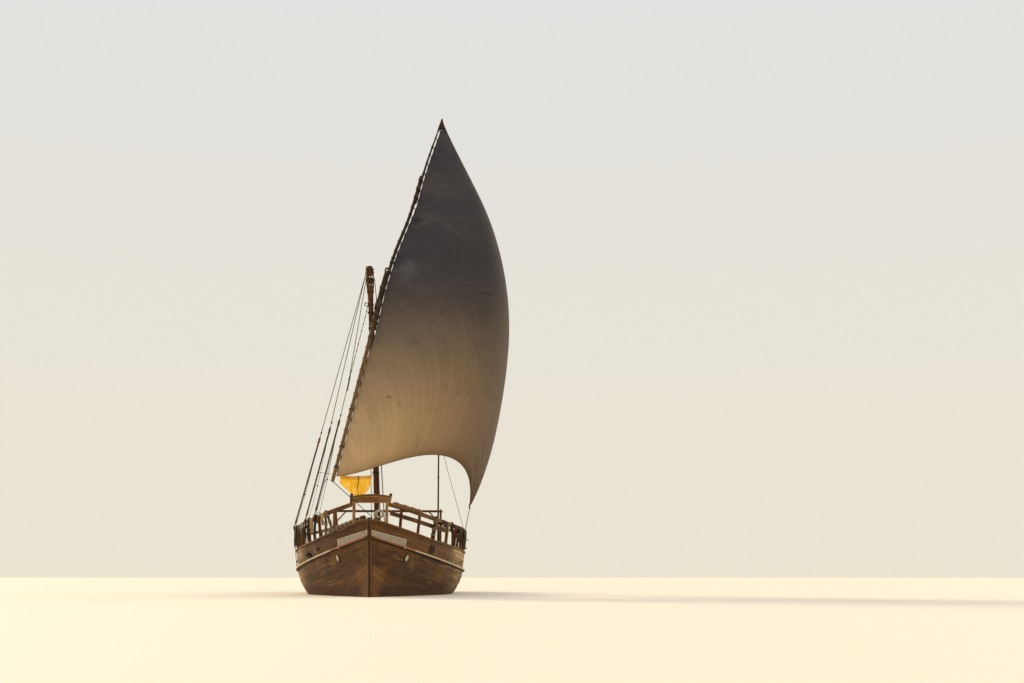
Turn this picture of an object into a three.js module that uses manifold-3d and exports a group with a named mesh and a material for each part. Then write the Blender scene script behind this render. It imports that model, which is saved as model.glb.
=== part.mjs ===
import * as THREE from "three";
import { mergeVertices } from "three/addons/utils/BufferGeometryUtils.js";
import Module from "manifold-3d";

// A lateen-rigged wooden trading dhow under sail, with its whole hull.
// Millimetres. +X runs forward, +Y to port, +Z up. The origin is on the
// waterline, on the centreline, amidships.

const wasm = await Module();
wasm.setup();

// Driving dimensions of the hull
const stemX = 11250; // stem face at the waterline
const stemRake = 0.36; // forward lean of the stem, per unit of height
const transomX = -11300; // transom at the waterline
const transomRake = -0.26; // aft lean of the transom, per unit of height
const hullHalf = 4000; // greatest half breadth of the planking
const backbone = 220; // thickness of keel, stem and stern post
const rabbetZ = -1500; // where the planking meets the keel
const keelZ = -1780; // underside of the keel
const lowStation = -1500; // station where the sheer is lowest
const lowWale = 1150; // height of the rubbing strake there
const bowRise = 1280;
const sternRise = 750;
const entryPower = 2.2; // fullness of the bow in plan
const runPower = 2.6; // fullness of the quarters in plan
const transomHalf = 2700;
const flare = 0.1; // outward lean of the topsides, per unit of height, away from the stem
const seam = 0.3; // clearance left where two pieces touch

// Driving dimensions of the upper works, as heights above the rubbing strake
const deckCamber = 70;
const deckThick = 50;
const bulwarkThick = 90;
const capThick = 70;
const railDeep = 140;
const railWide = 150;

const clamp01 = (t) => Math.min(1, Math.max(0, t));
const smooth = (t) => clamp01(t) ** 2 * (3 - 2 * clamp01(t));
const lerp = (a, b, t) => a + (b - a) * t;
const vec = (x, y, z) => new THREE.Vector3(x, y, z);

// The bulwarks are lowest at the bow and highest at the quarters; the open rails dip to the bow
const bulwarkTopAt = (station) =>
  780 - 120 * smooth((station - 2000) / 5000) + 120 * smooth((-1000 - station) / 5000);
const railTopAt = (station) => 1850 - 270 * clamp01((station - 2500) / 8000);

// Hull form, by station: a station is a frame that leans with the stem or transom
function leanAt(station) {
  const fore = smooth((station - 3500) / (stemX - 3500));
  const aft = smooth((-4500 - station) / (-4500 - transomX));
  return stemRake * fore + transomRake * aft;
}

function waleAt(station) {
  if (station > lowStation) {
    return lowWale + bowRise * ((station - lowStation) / (stemX - lowStation)) ** 2;
  }
  return lowWale + sternRise * ((lowStation - station) / (lowStation - transomX)) ** 2;
}

function rabbetAt(station) {
  const fore = clamp01((station - 9000) / (stemX - 9000));
  const aft = clamp01((-7800 - station) / (-7800 - transomX));
  return rabbetZ + 900 * fore ** 2 + 760 * aft ** 2;
}

function waleHalf(station) {
  const fullest = -1200;
  if (station > fullest) {
    const t = (stemX - station) / (stemX - fullest);
    return lerp(backbone / 2, hullHalf, 1 - (1 - t) ** entryPower);
  }
  const t = (fullest - station) / (fullest - transomX);
  return lerp(hullHalf, transomHalf, t ** runPower);
}

function frameShape(station, t) {
  const bow = smooth((station - 1500) / (stemX - 1500));
  const stern = smooth((-3500 - station) / (-3500 - transomX));
  const full = (1 - (1 - t) ** 1.7) ** 0.5;
  const vee = t ** 0.62;
  const wineglass = Math.sin((Math.PI / 2) * t) ** 1.7;
  return lerp(lerp(full, vee, bow), wineglass, stern);
}

// Half breadth of the outside of the planking, at any height
function halfAt(station, z) {
  const wale = waleAt(station);
  const half = waleHalf(station);
  if (z >= wale) return half + flare * clamp01((stemX - station) / 2500) * (z - wale);
  const t = clamp01((z - rabbetAt(station)) / (wale - rabbetAt(station)));
  return lerp(backbone / 2, half, frameShape(station, t));
}

const place = (station, y, z) => vec(station + leanAt(station) * z, y, z);
const deckAt = (station, y) =>
  waleAt(station) + deckCamber * (1 - (y / waleHalf(station)) ** 2);

// The stations of every piece that follows the hull, so that their facets line up
const stemStation = stemX - 30; // where the planking ends on the stem
const capFore = 11100; // fore end of the cap rails
const stations = [
  -11300, -10700, -10000, -9100, -8100, -7000, -5800, -4500, -3000, -1500, 0, 1500, 3000,
  4300, 5500, 6600, 7600, 8500, 9300, 10000, 10550, 10950, capFore, stemStation,
];
const between = (from, to) => [
  from,
  ...stations.filter((s) => s > from + 1 && s < to - 1),
  to,
];

// Solids
function geometryOf(points, faces) {
  const geometry = new THREE.BufferGeometry();
  geometry.setAttribute(
    "position",
    new THREE.Float32BufferAttribute(points.flatMap((p) => [p.x, p.y, p.z]), 3),
  );
  geometry.setIndex(faces.flat());
  return geometry;
}

// A closed solid through rings of equal length; each end is closed by a cap
function loft(rings) {
  const count = rings[0].length;
  const faces = [];
  for (let r = 0; r + 1 < rings.length; r++) {
    for (let i = 0; i < count; i++) {
      const a = r * count + i;
      const b = r * count + ((i + 1) % count);
      faces.push([a, b, b + count], [a, b + count, a + count]);
    }
  }
  for (const [ring, offset, flip] of [
    [rings[0], 0, true],
    [rings.at(-1), (rings.length - 1) * count, false],
  ]) {
    const middle = ring.reduce((m, p) => m.add(p), vec(0, 0, 0)).divideScalar(count);
    const normal = vec(0, 0, 0);
    ring.forEach((p, i) => {
      const q = ring[(i + 1) % count];
      normal.add(p.clone().sub(middle).cross(q.clone().sub(middle)));
    });
    normal.normalize();
    const helper = Math.abs(normal.x) > 0.9 ? vec(0, 1, 0) : vec(1, 0, 0);
    const u = helper.cross(normal).normalize();
    const v = normal.clone().cross(u);
    const flat = ring.map((p) => new THREE.Vector2(p.dot(u), p.dot(v)));
    for (const [a, b, c] of THREE.ShapeUtils.triangulateShape(flat, [])) {
      faces.push(flip ? [offset + a, offset + c, offset + b] : [offset + a, offset + b, offset + c]);
    }
  }
  return outward(geometryOf(rings.flat(), faces));
}

// Turns a closed surface so that its faces point out
function outward(geometry) {
  const p = geometry.getAttribute("position");
  const index = geometry.index;
  const [a, b, c] = [vec(), vec(), vec()];
  let volume = 0;
  for (let i = 0; i < index.count; i += 3) {
    a.fromBufferAttribute(p, index.getX(i));
    b.fromBufferAttribute(p, index.getX(i + 1));
    c.fromBufferAttribute(p, index.getX(i + 2));
    volume += a.dot(b.cross(c));
  }
  if (volume < 0) {
    for (let i = 0; i < index.count; i += 3) {
      const swap = index.getX(i + 1);
      index.setX(i + 1, index.getX(i + 2));
      index.setX(i + 2, swap);
    }
  }
  return geometry;
}

function solid(geometry) {
  const bare = geometry.index ? geometry.clone() : mergeVertices(geometry.clone());
  bare.deleteAttribute("normal");
  bare.deleteAttribute("uv");
  const merged = mergeVertices(bare, 1e-3);
  return new wasm.Manifold(
    new wasm.Mesh({
      numProp: 3,
      vertProperties: new Float32Array(merged.attributes.position.array),
      triVerts: new Uint32Array(merged.index.array),
    }),
  );
}

function geometryFrom(body) {
  const mesh = body.getMesh();
  const geometry = new THREE.BufferGeometry();
  geometry.setAttribute("position", new THREE.BufferAttribute(mesh.vertProperties, 3));
  geometry.setIndex(new THREE.BufferAttribute(mesh.triVerts, 1));
  return geometry;
}

const join = (geometries) =>
  geometryFrom(geometries.map(solid).reduce((sum, body) => sum.add(body)));
const cut = (geometry, ...cutters) =>
  geometryFrom(cutters.map(solid).reduce((rest, body) => rest.subtract(body), solid(geometry)));

function box(x0, x1, y0, y1, z0, z1) {
  const geometry = new THREE.BoxGeometry(x1 - x0, y1 - y0, z1 - z0);
  return geometry.translate((x0 + x1) / 2, (y0 + y1) / 2, (z0 + z1) / 2);
}

// A round or square bar that follows points, with its own radius at each
function bar(points, radii, sides = 10, turn = 0, ups = null) {
  const rings = points.map((p, i) => {
    const before = points[Math.max(0, i - 1)];
    const after = points[Math.min(points.length - 1, i + 1)];
    const along = after.clone().sub(before).normalize();
    const upright = Math.abs(along.z) > 0.9 ? vec(1, 0, 0) : vec(0, 0, 1);
    const up = ups ? ups[i].clone() : upright;
    const side = up.cross(along).normalize();
    const top = along.clone().cross(side);
    const r = Array.isArray(radii) ? radii[i] : radii;
    return Array.from({ length: sides }, (_, k) => {
      const angle = turn + (2 * Math.PI * k) / sides;
      return p
        .clone()
        .addScaledVector(side, r * Math.cos(angle))
        .addScaledVector(top, r * Math.sin(angle));
    });
  });
  return loft(rings);
}

// A strip along the hull side: corners are [distance out from the planking, height] pairs
function strake(side, from, to, corners) {
  return loft(
    between(from, to).map((station) =>
      corners(station).map(([out, z]) => place(station, side * (halfAt(station, z) + out), z)),
    ),
  );
}

// Profile in the plane of the centreline, made into a slab across it
function slab(outline, width) {
  const shape = new THREE.Shape(outline.map(([x, z]) => new THREE.Vector2(x, z)));
  const geometry = new THREE.ExtrudeGeometry(shape, { depth: width, bevelEnabled: false });
  return geometry.rotateX(Math.PI / 2).translate(0, width / 2, 0);
}

const sides = { port: 1, starboard: -1 };
const dhow = new THREE.Group();
const wood = (color) => new THREE.MeshStandardMaterial({ color, roughness: 0.75, metalness: 0 });
const finishes = {
  planking: wood(0x5b3d22),
  backbone: wood(0x35241a),
  deck: wood(0x8a6f4e),
  upperworks: wood(0x6b4a2b),
  wale: wood(0xc9b99a),
  carving: wood(0xb9b3a6),
  spar: wood(0x6e4c2c),
  mast: wood(0x5e3a1f),
  rope: new THREE.MeshStandardMaterial({ color: 0x8d7a55, roughness: 0.95 }),
  block: wood(0x7a5228),
  iron: new THREE.MeshStandardMaterial({ color: 0x2c2723, roughness: 0.6, metalness: 0.9 }),
  canvas: new THREE.MeshStandardMaterial({ color: 0xa99a80, roughness: 0.95 }),
  awning: new THREE.MeshStandardMaterial({ color: 0xd9a441, roughness: 0.9 }),
};

function add(name, finish, geometry) {
  const mesh = new THREE.Mesh(geometry, finishes[finish]);
  mesh.name = name;
  dhow.add(mesh);
}

// Hull planking: one solid, closed at the deck
const sideSteps = [0, 0.12, 0.25, 0.38, 0.5, 0.62, 0.74, 0.87, 1];
const deckSteps = [0.66, 0.33];

function deckLine(station, reach) {
  const half = reach ?? waleHalf(station);
  return [1, ...deckSteps].map((share) => {
    const y = half * share;
    return place(station, y, deckAt(station, y));
  });
}

const mirrored = (points) =>
  points.map((p) => vec(p.x, -p.y, p.z)).reverse();

function hullRing(station) {
  const low = rabbetAt(station);
  const side = sideSteps.map((t) => {
    const z = lerp(low, waleAt(station), t);
    return place(station, halfAt(station, z), z);
  });
  const port = [...side, ...deckLine(station).slice(1)];
  return [...port, place(station, 0, deckAt(station, 0)), ...mirrored(port)];
}
const hullSolid = loft(stations.map(hullRing));
add("hull_planking", "planking", hullSolid);
const raisedHull = hullSolid.clone().translate(0, 0, seam);
const onHull = (geometry) => cut(geometry, raisedHull);

// Deck planking lies on the hull, between the bulwarks
const deckInset = bulwarkThick + 15;
const deckAft = transomX + 20;
const deckFore = 10550;
function deckRing(station, low, high, grow = 0) {
  const half = waleHalf(station) - deckInset + grow;
  const line = [...deckLine(station, half), place(station, 0, deckAt(station, 0))];
  const port = line.slice(0, -1);
  const whole = [...port, line.at(-1), ...mirrored(port)];
  const raise = (p, by) => p.clone().add(vec(0, 0, by));
  return [...whole.map((p) => raise(p, high)), ...whole.reverse().map((p) => raise(p, low))];
}
add(
  "deck_planking",
  "deck",
  onHull(loft(between(deckAft, deckFore).map((s) => deckRing(s, -30, deckThick)))),
);

// Everything below the walking surface, used to seat deck fittings on the camber
const farDown = -3000;
const underDeck = loft(
  between(deckAft, deckFore).map((s) => deckRing(s, farDown, deckThick + seam, 1)),
);
const seated = (geometry) => cut(geometry, underDeck);

// Keel, stem and stern post
const rabbetLine = (from, to) =>
  between(from, to).map((s) => {
    const z = rabbetAt(s) - seam;
    return [s + leanAt(s) * z, z];
  });
const keelAft = -9100;
const keelFore = 8500;
add(
  "keel",
  "backbone",
  slab([[keelAft, keelZ], [keelFore, keelZ], ...rabbetLine(keelAft, keelFore).reverse()], backbone),
);

const stemLine = (z, out) => [stemX + stemRake * z + out, z];
const stemHeadZ = 3190;
const stemDeep = 230;
const stemFore = 90; // width of its fore edge
const stemFull = 1000; // height from which that width holds
const forefoot = [
  [keelFore + seam, keelZ],
  [9700, keelZ + 90],
  [10600, keelZ + 480],
  stemLine(-700, stemDeep),
];
const stemRabbet = rabbetLine(keelFore + seam, stemStation);
const stemBack = 2 - (stemX - stemStation);
const stemPairs = [
  ...stemRabbet.map((inner, i) => {
    const share = (i / (stemRabbet.length - 1)) * (forefoot.length - 1);
    const k = Math.min(forefoot.length - 2, Math.floor(share));
    return [inner, [0, 1].map((axis) => lerp(forefoot[k][axis], forefoot[k + 1][axis], share - k))];
  }),
  [stemLine(stemFull, stemBack), stemLine(stemFull, stemDeep)],
  [stemLine(stemHeadZ - 150, stemBack), stemLine(stemHeadZ - 150, stemDeep)],
  [stemLine(stemHeadZ, stemBack), stemLine(stemHeadZ, stemDeep - 130)],
];
const stemSolid = loft(
  stemPairs.map(([[x0, z0], [x1, z1]], i) => {
    const aft = backbone / 2;
    const fore = lerp(aft, stemFore / 2, Math.min(1, i / (stemRabbet.length - 1)));
    return [vec(x0, -aft, z0), vec(x1, -fore, z1), vec(x1, fore, z1), vec(x0, aft, z0)];
  }),
);
add("stem_post", "backbone", stemSolid);

const transomLine = (z, out) => [transomX + transomRake * z - out, z];
const transomThick = 90;
const postDeep = 200;
const postTop = 2350;
add(
  "stern_post",
  "backbone",
  slab(
    [
      ...rabbetLine(transomX, keelAft - seam),
      [keelAft - seam, keelZ],
      transomLine(keelZ, postDeep + transomThick),
      transomLine(postTop, postDeep + transomThick),
      transomLine(postTop, transomThick + 2 * seam),
      transomLine(rabbetAt(transomX) - seam, transomThick + 2 * seam),
    ],
    backbone,
  ),
);

// Transom: planked board closing the stern, crowned on top
const transomCrown = 420;
function transomRing(out) {
  const low = rabbetAt(transomX);
  const high = waleAt(transomX) + bulwarkTopAt(transomX);
  const port = Array.from({ length: 12 }, (_, i) => {
    const z = lerp(low, high, i / 11);
    return vec(transomX + transomRake * z - out, halfAt(transomX, z), z);
  });
  for (const share of [0.75, 0.5, 0.25]) {
    const z = high + transomCrown * (1 - share ** 2);
    const y = halfAt(transomX, high) * share;
    port.push(vec(transomX + transomRake * z - out, y, z));
  }
  const crown = high + transomCrown;
  return [...port, vec(transomX + transomRake * crown - out, 0, crown), ...mirrored(port)];
}
add("transom", "planking", loft([transomRing(seam), transomRing(transomThick)]));

// Rubbing strakes, bulwarks, cap rails and the open rails above them
const waleLow = -120;
const waleHigh = 35;
const waleOut = 100;
const waleEnd = 11330; // the strakes and carved boards run on along the sides of the stem
function waleStrake(side, from, to) {
  return strake(side, from, to, (s) => {
    const z = waleAt(s);
    const inner = flare * waleHigh + seam;
    return [
      [inner, z + waleLow],
      [waleOut, z + waleLow + 30],
      [waleOut, z + waleHigh - 20],
      [inner, z + waleHigh],
    ].map(([out, height]) => {
      const skin = halfAt(s, height) - waleHalf(s);
      return [out - skin, height];
    });
  });
}

function bulwark(side) {
  const inner = (s, z) => -Math.min(bulwarkThick, halfAt(s, z) - 6);
  const planks = strake(side, transomX + seam, stemStation - 1, (s) => {
    const low = waleAt(s) + seam;
    const high = waleAt(s) + bulwarkTopAt(s);
    return [
      [0, low],
      [0, high],
      [inner(s, high), high],
      [inner(s, low), low],
    ];
  });
  return onHull(planks);
}

const capLowAt = (station) => bulwarkTopAt(station) + seam;
const capHighAt = (station) => capLowAt(station) + capThick;
function capRail(side) {
  const reach = (s, z) => -Math.min(bulwarkThick + 75, halfAt(s, z) - 6);
  return strake(side, transomX + seam, capFore, (s) => {
    const [low, high] = [waleAt(s) + capLowAt(s), waleAt(s) + capHighAt(s)];
    return [
      [50, low],
      [50, high],
      [reach(s, high), high],
      [reach(s, low), low],
    ];
  });
}

const railFore = 10200;
const railAft = -11150;
const lowerBoard = { from: 5200, to: 10150, top: -320, deep: 170, wide: 50 };
const postStations = {
  port: [
    -11000, -9600, -8100, -6600, -5000, -3400, -2000, -700, 100, 900, 2200, 3700, 5200, 6700,
    8200, 9500,
  ],
  starboard: [
    -11000, -9600, -8100, -6600, -5000, -3400, -2000, -700, 500, 1700, 3000, 4300, 5700, 7300,
    9000,
  ],
};
const postHalf = 70;

// The middle of the open rail, or of any height above the cap rail
const railPoint = (side, s, height) => {
  const z = waleAt(s) + height;
  return place(s, side * (halfAt(s, z) - railWide / 2), z);
};

// A rail of rectangular section, on the line of the posts
function railBar(side, { from, to, top, deep, wide }) {
  const middle = -railWide / 2;
  return strake(side, from, to, (s) => {
    const high = waleAt(s) + railTopAt(s) + top;
    const low = high - deep;
    return [
      [middle + wide / 2, low],
      [middle + wide / 2, high],
      [middle - wide / 2, high],
      [middle - wide / 2, low],
    ];
  });
}

function openRail(side, label) {
  const rail = { from: railAft, to: railFore, top: 0, deep: railDeep, wide: railWide };
  const boards = label === "port" ? [rail, lowerBoard] : [rail];
  const posts = postStations[label].map((s) =>
    bar(
      [railPoint(side, s, capHighAt(s) - 18), railPoint(side, s, railTopAt(s) - railDeep / 2)],
      postHalf * Math.SQRT2,
      4,
      Math.PI / 4,
    ),
  );
  return join([...boards.map((board) => railBar(side, board)), ...posts]);
}

// Crossbeam over the bow, on two posts that stand on the cap rails
const bowBeamX = 11650;
const bowBeamWide = 150;
const bowBeamHalf = 790;
const bowBeamShift = 50; // it lies a little to port
const bowBeamLow = 3810;
const bowBeamHigh = 4090;
const bowBeamCrown = 80;
const bowPostY = 670;
const bowPostHalf = 60;
const bowPostStation = 10590;
const bowPostFoot = waleAt(bowPostStation) + capHighAt(bowPostStation) - 35;
function bowBeam(grow) {
  const half = bowBeamWide / 2 + grow;
  const beam = loft(
    [-1, -0.5, 0, 0.5, 1].map((share) => {
      const y = bowBeamShift + share * (bowBeamHalf + grow);
      const top = bowBeamHigh + bowBeamCrown * (1 - share ** 2) + grow;
      return [
        vec(bowBeamX - half, y, bowBeamLow - grow),
        vec(bowBeamX + half, y, bowBeamLow - grow),
        vec(bowBeamX + half, y, top),
        vec(bowBeamX - half, y, top),
      ];
    }),
  );
  const posts = Object.values(sides).map((side) => {
    const [x, y, half] = [bowBeamX, side * bowPostY, bowPostHalf];
    return box(x - half, x + half, y - half, y + half, bowPostFoot, bowBeamLow + 40);
  });
  return join([beam, ...posts]);
}

// Copies of the bulwarks, a little further in or out, trim what lies against them
const nudged = (geometry, x, y, z) => geometry.clone().translate(x, y, z);
const topsides = [];
const bowCaps = [];
for (const [label, side] of Object.entries(sides)) {
  const planks = bulwark(side);
  const cap = capRail(side);
  const outer = nudged(planks, 0, side * 1.5 * seam, 0);
  bowCaps.push(nudged(cap, 0, 0, seam), nudged(cap, 0, side * 2 * seam, seam));
  topsides.push({ label, side, outer, inner: nudged(planks, 0, -side * 1.5 * seam, 0) });
  add(`bulwark_${label}`, "planking", planks);
  add(`cap_rail_${label}`, "upperworks", cap);
  const clearStem = nudged(stemSolid, 0, side * 2 * seam, 0);
  const rubbing = waleStrake(side, transomX + seam, waleEnd);
  add(`rubbing_strake_${label}`, "wale", cut(rubbing, outer, clearStem));
  add(
    `open_rail_${label}`,
    "upperworks",
    cut(openRail(side, label), nudged(cap, 0, 0, seam), bowBeam(2 * seam)),
  );
}
const offBulwarks = (geometry) => cut(geometry, ...topsides.map(({ inner }) => inner));

// Carved boards at the bow, on the outside of the bulwarks
const boardFrom = 9180;
const boardTo = waleEnd - 20;
const boardHigh = (station) => lerp(290, 210, (station - boardFrom) / (boardTo - boardFrom));
const boardThick = 28;
const boardGap = 5; // the board stands on the strake, just clear of the planks
function carvedBoard(side) {
  const board = strake(side, boardFrom, boardTo, (s) => {
    const low = waleAt(s) + waleHigh + seam;
    const high = low + boardHigh(s);
    return [
      [boardGap, low],
      [boardGap + boardThick, low],
      [boardGap + boardThick, high],
      [boardGap, high],
    ];
  });
  return cut(board, nudged(stemSolid, 0, side * 2 * seam, 0));
}

// Round eyes on the bow planking, under the rubbing strake
const eyeStation = 8950;
const eyeHeight = 1600;
const eyeRadius = 170;
const eyeThick = 36;
function eyeDisc(side) {
  const at = (s, z) => place(s, side * halfAt(s, z), z);
  const middle = at(eyeStation, eyeHeight);
  const along = at(eyeStation + 200, eyeHeight).sub(at(eyeStation - 200, eyeHeight));
  const up = at(eyeStation, eyeHeight + 150).sub(at(eyeStation, eyeHeight - 150));
  const normal = along.cross(up).normalize();
  if (normal.y * side < 0) normal.negate();
  const disc = bar(
    [-90, eyeThick * 0.6, eyeThick].map((d) => middle.clone().addScaledVector(normal, d)),
    [eyeRadius, eyeRadius, eyeRadius * 0.86],
    20,
  );
  const clear = normal.multiplyScalar(seam);
  const skin = loft(stations.map(hullRing)).translate(clear.x, clear.y, clear.z);
  return cut(disc, skin);
}

for (const { label, side } of topsides) {
  add(`carved_board_${label}`, "carving", carvedBoard(side));
  add(`bow_eye_${label}`, "carving", eyeDisc(side));
}

add("bow_crossbeam", "upperworks", cut(bowBeam(0), ...bowCaps));

// Poop deck between the quarter bulwarks, with a bulkhead under its fore edge
const poopTo = -6200;
const poopHigh = 820;
const poopLow = poopHigh - 60;
const poopInset = bulwarkThick - 5;
function poopRing(s, low, high, grow = 0) {
  const half = halfAt(s, waleAt(s) + poopHigh) - poopInset + grow;
  const line = [1, 0.5, 0].map((share) => [half * share, deckCamber * (1 - share ** 2)]);
  const top = [...line, ...line.slice(0, -1).reverse().map(([y, rise]) => [-y, rise])];
  const at = (height) => ([y, rise]) => place(s, y, waleAt(s) + height + rise);
  return [...top.map(at(high)), ...top.reverse().map(at(low))];
}
const poopDeck = loft(between(deckAft, poopTo).map((s) => poopRing(s, poopLow, poopHigh)));
add("poop_deck", "deck", offBulwarks(poopDeck));
const underPoop = loft(
  between(deckAft, poopTo).map((s) => poopRing(s, farDown, poopHigh + seam, 1)),
);
const bulkheadStation = poopTo - 250;
const bulkheadThick = 70;
add(
  "poop_bulkhead",
  "planking",
  cut(
    loft(
      [bulkheadStation, bulkheadStation + bulkheadThick].map((s) => {
        const corner = (side, height) => {
          const z = waleAt(s) + height;
          return place(s, side * (halfAt(s, z) - bulwarkThick - 10), z);
        };
        const [low, high] = [20, poopHigh + 40];
        return [corner(-1, low), corner(1, low), corner(1, high), corner(-1, high)];
      }),
    ),
    underDeck,
    loft(between(deckAft, poopTo).map((s) => poopRing(s, poopLow - seam, 2 * poopHigh))),
  ),
);

// Main hatch: a coaming on the deck, with a board cover over it
const hatch = { aft: -3400, fore: 200, half: 1150, wall: 90, top: 1720 };
const coamingBox = (out, low, high) =>
  box(hatch.aft - out, hatch.fore + out, -hatch.half - out, hatch.half + out, low, high);
add(
  "hatch_coaming",
  "upperworks",
  seated(cut(coamingBox(0, 1100, hatch.top), coamingBox(-hatch.wall, 1000, hatch.top + 100))),
);
add("hatch_cover", "deck", coamingBox(30, hatch.top + seam, hatch.top + 60));

// Mooring bitts: two posts and a crossbar, standing on the deck
const bittPositions = { fore_bitts: 8300, aft_bitts: -5300 };
const bitt = { high: 950, postHalf: 80, postY: 350, barHalf: 60, barReach: 620, barDown: 420, barDeep: 140 };
for (const [name, x] of Object.entries(bittPositions)) {
  const foot = waleAt(x) - 150;
  const top = waleAt(x) + bitt.high;
  const bar0 = top - bitt.barDown;
  add(
    name,
    "upperworks",
    seated(
      join([
        ...[-bitt.postY, bitt.postY].map((y) =>
          box(x - bitt.postHalf, x + bitt.postHalf, y - bitt.postHalf, y + bitt.postHalf, foot, top),
        ),
        box(x - bitt.barHalf, x + bitt.barHalf, -bitt.barReach, bitt.barReach, bar0, bar0 + bitt.barDeep),
      ]),
    ),
  );
}

// Gallows across the poop, the awning pole beside it and the stay of the pole
const gallows = { x: -8000, half: 3000, postY: 2900, low: 4290, high: 4410, foot: 2000 };
const gallowsHalf = 60; // half the thickness of the beam and of its posts
const gallowsBox = (y0, y1, z0, z1) =>
  box(gallows.x - gallowsHalf, gallows.x + gallowsHalf, y0, y1, z0, z1);
const onPoop = (geometry) => cut(geometry, underPoop);
add(
  "aft_gallows",
  "upperworks",
  onPoop(
    join([
      gallowsBox(-gallows.half, gallows.half, gallows.low, gallows.high),
      ...[-gallows.postY, gallows.postY].map((y) =>
        gallowsBox(y - gallowsHalf, y + gallowsHalf, gallows.foot, gallows.low + 20),
      ),
    ]),
  ),
);
const poleFoot = vec(gallows.x + 130, gallows.postY - 140, 2100);
const poleTop = poleFoot.clone().setZ(8450);
const poleRadius = 50;
add("awning_pole", "spar", onPoop(bar([poleFoot, poleTop], [poleRadius, 38], 10)));

// Mast: raked forward, thicker at the hounds, with sheave slots in its head
const mastFoot = vec(3550, 50, 1400);
const mastHead = vec(5350, -520, 15100);
const mastAxis = mastHead.clone().sub(mastFoot).normalize();
const mastAt = (z) => mastFoot.clone().addScaledVector(mastAxis, (z - mastFoot.z) / mastAxis.z);
const mastGirth = [
  [1100, 160],
  [3000, 150],
  [6500, 138],
  [10500, 125],
  [13300, 122],
  [13750, 132],
  [14150, 180],
  [14400, 190],
  [14750, 185],
  [15000, 165],
  [15110, 110],
];
const mastSides = 12;
const mastRings = (extra) => [
  mastGirth.map(([z]) => mastAt(z)),
  mastGirth.map(([, radius]) => radius + extra),
];
const mastRadius = (z) => {
  const next = Math.max(1, mastGirth.findIndex(([height]) => height >= z));
  const [[z0, r0], [z1, r1]] = [mastGirth[next - 1], mastGirth[next]];
  return lerp(r0, r1, clamp01((z - z0) / (z1 - z0)));
};
const mastSolid = bar(...mastRings(0), mastSides);
const slot = { z: 14440, high: 500, half: 24, starboard: -10, port: 100 };
const slots = [slot.starboard, slot.port].map((offset) => {
  const { x, y } = mastAt(slot.z);
  const [near, far] = [y + offset - slot.half, y + offset + slot.half];
  return box(x - 400, x + 400, near, far, slot.z - slot.high / 2, slot.z + slot.high / 2);
});
add("mast", "mast", seated(cut(mastSolid, ...slots)));
const clearOfMast = bar(...mastRings(seam * 2), mastSides);
const offMast = (geometry) => cut(geometry, clearOfMast);

// Mast partners: a heavy block on deck around the foot of the mast
const partners = { aft: 3050, fore: 4150, starboard: -420, port: 520, low: 1000, top: 1650 };
function partnersBox(grow) {
  const { aft, fore, starboard, port, low, top } = partners;
  return box(aft - grow, fore + grow, starboard - grow, port + grow, low, top + grow);
}
add("mast_partners", "backbone", offMast(seated(partnersBox(0))));

// Yard: three spars lashed side by side, each higher one on the sail side
const yardPoints = [
  [11400, -1590, 4710],
  [8300, -880, 8750],
  [5600, -240, 12420],
  [3600, 320, 15430],
  [1300, 1170, 18410],
  [-1200, 1890, 21650],
  [-3800, 2820, 25310],
].map((p) => vec(...p));
const yardCurve = new THREE.CatmullRomCurve3(yardPoints);
const clew = vec(-800, 4310, 4280);
const yardSpars = [
  { name: "yard_lower_spar", from: 0, to: 0.5, girth: [80, 100, 95] },
  { name: "yard_middle_spar", from: 0.36, to: 0.8, girth: [80, 85, 75] },
  { name: "yard_tip_spar", from: 0.72, to: 1, girth: [66, 58, 32] },
];
const sparSides = 8;
const sparStep = 0.02;
const sparFlat = Math.cos(Math.PI / sparSides);
function sparRadius({ from, to, girth }, t) {
  const half = 2 * clamp01((t - from) / (to - from));
  return half < 1 ? lerp(girth[0], girth[1], half) : lerp(girth[1], girth[2], half - 1);
}
// How far each spar lies from the lowest one, towards the sail
const sparOffset = (index, t) =>
  yardSpars.slice(0, index).reduce((sum, spar, i) => {
    const next = yardSpars[i + 1];
    const shared = Math.min(spar.to, Math.max(next.from, t));
    return sum + (sparRadius(spar, shared) + sparRadius(next, shared)) * sparFlat + 2 * seam;
  }, 0);

// Points from the yard towards the sail, square to the yard
function sailward(t) {
  const tangent = yardCurve.getTangentAt(t);
  const toClew = clew.clone().sub(yardCurve.getPointAt(t));
  return toClew.addScaledVector(tangent, -toClew.dot(tangent)).normalize();
}

// The measured line of the yard is the lower spar at its heel and the tip spar at its peak
const yardShift = (t) =>
  sparOffset(1, t) * (0.5 * smooth((t - 0.32) / 0.1) + 0.5 * smooth((t - 0.5) / 0.1)) +
  (sparOffset(2, t) - sparOffset(1, t)) * smooth((t - 0.68) / 0.2);
const yardPoint = (t, offset) =>
  yardCurve.getPointAt(t).addScaledVector(sailward(t), offset - yardShift(t));

function sparBar(index, extra = 0) {
  const spar = yardSpars[index];
  const steps = Math.round((spar.to - spar.from) / sparStep);
  const ts = Array.from({ length: steps + 1 }, (_, i) => spar.from + i * sparStep);
  return bar(
    ts.map((t) => yardPoint(t, sparOffset(index, t))),
    ts.map((t) => sparRadius(spar, t) + extra),
    sparSides,
    Math.PI / sparSides,
    ts.map(sailward),
  );
}
yardSpars.forEach(({ name }, index) => add(name, "spar", sparBar(index)));

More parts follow.
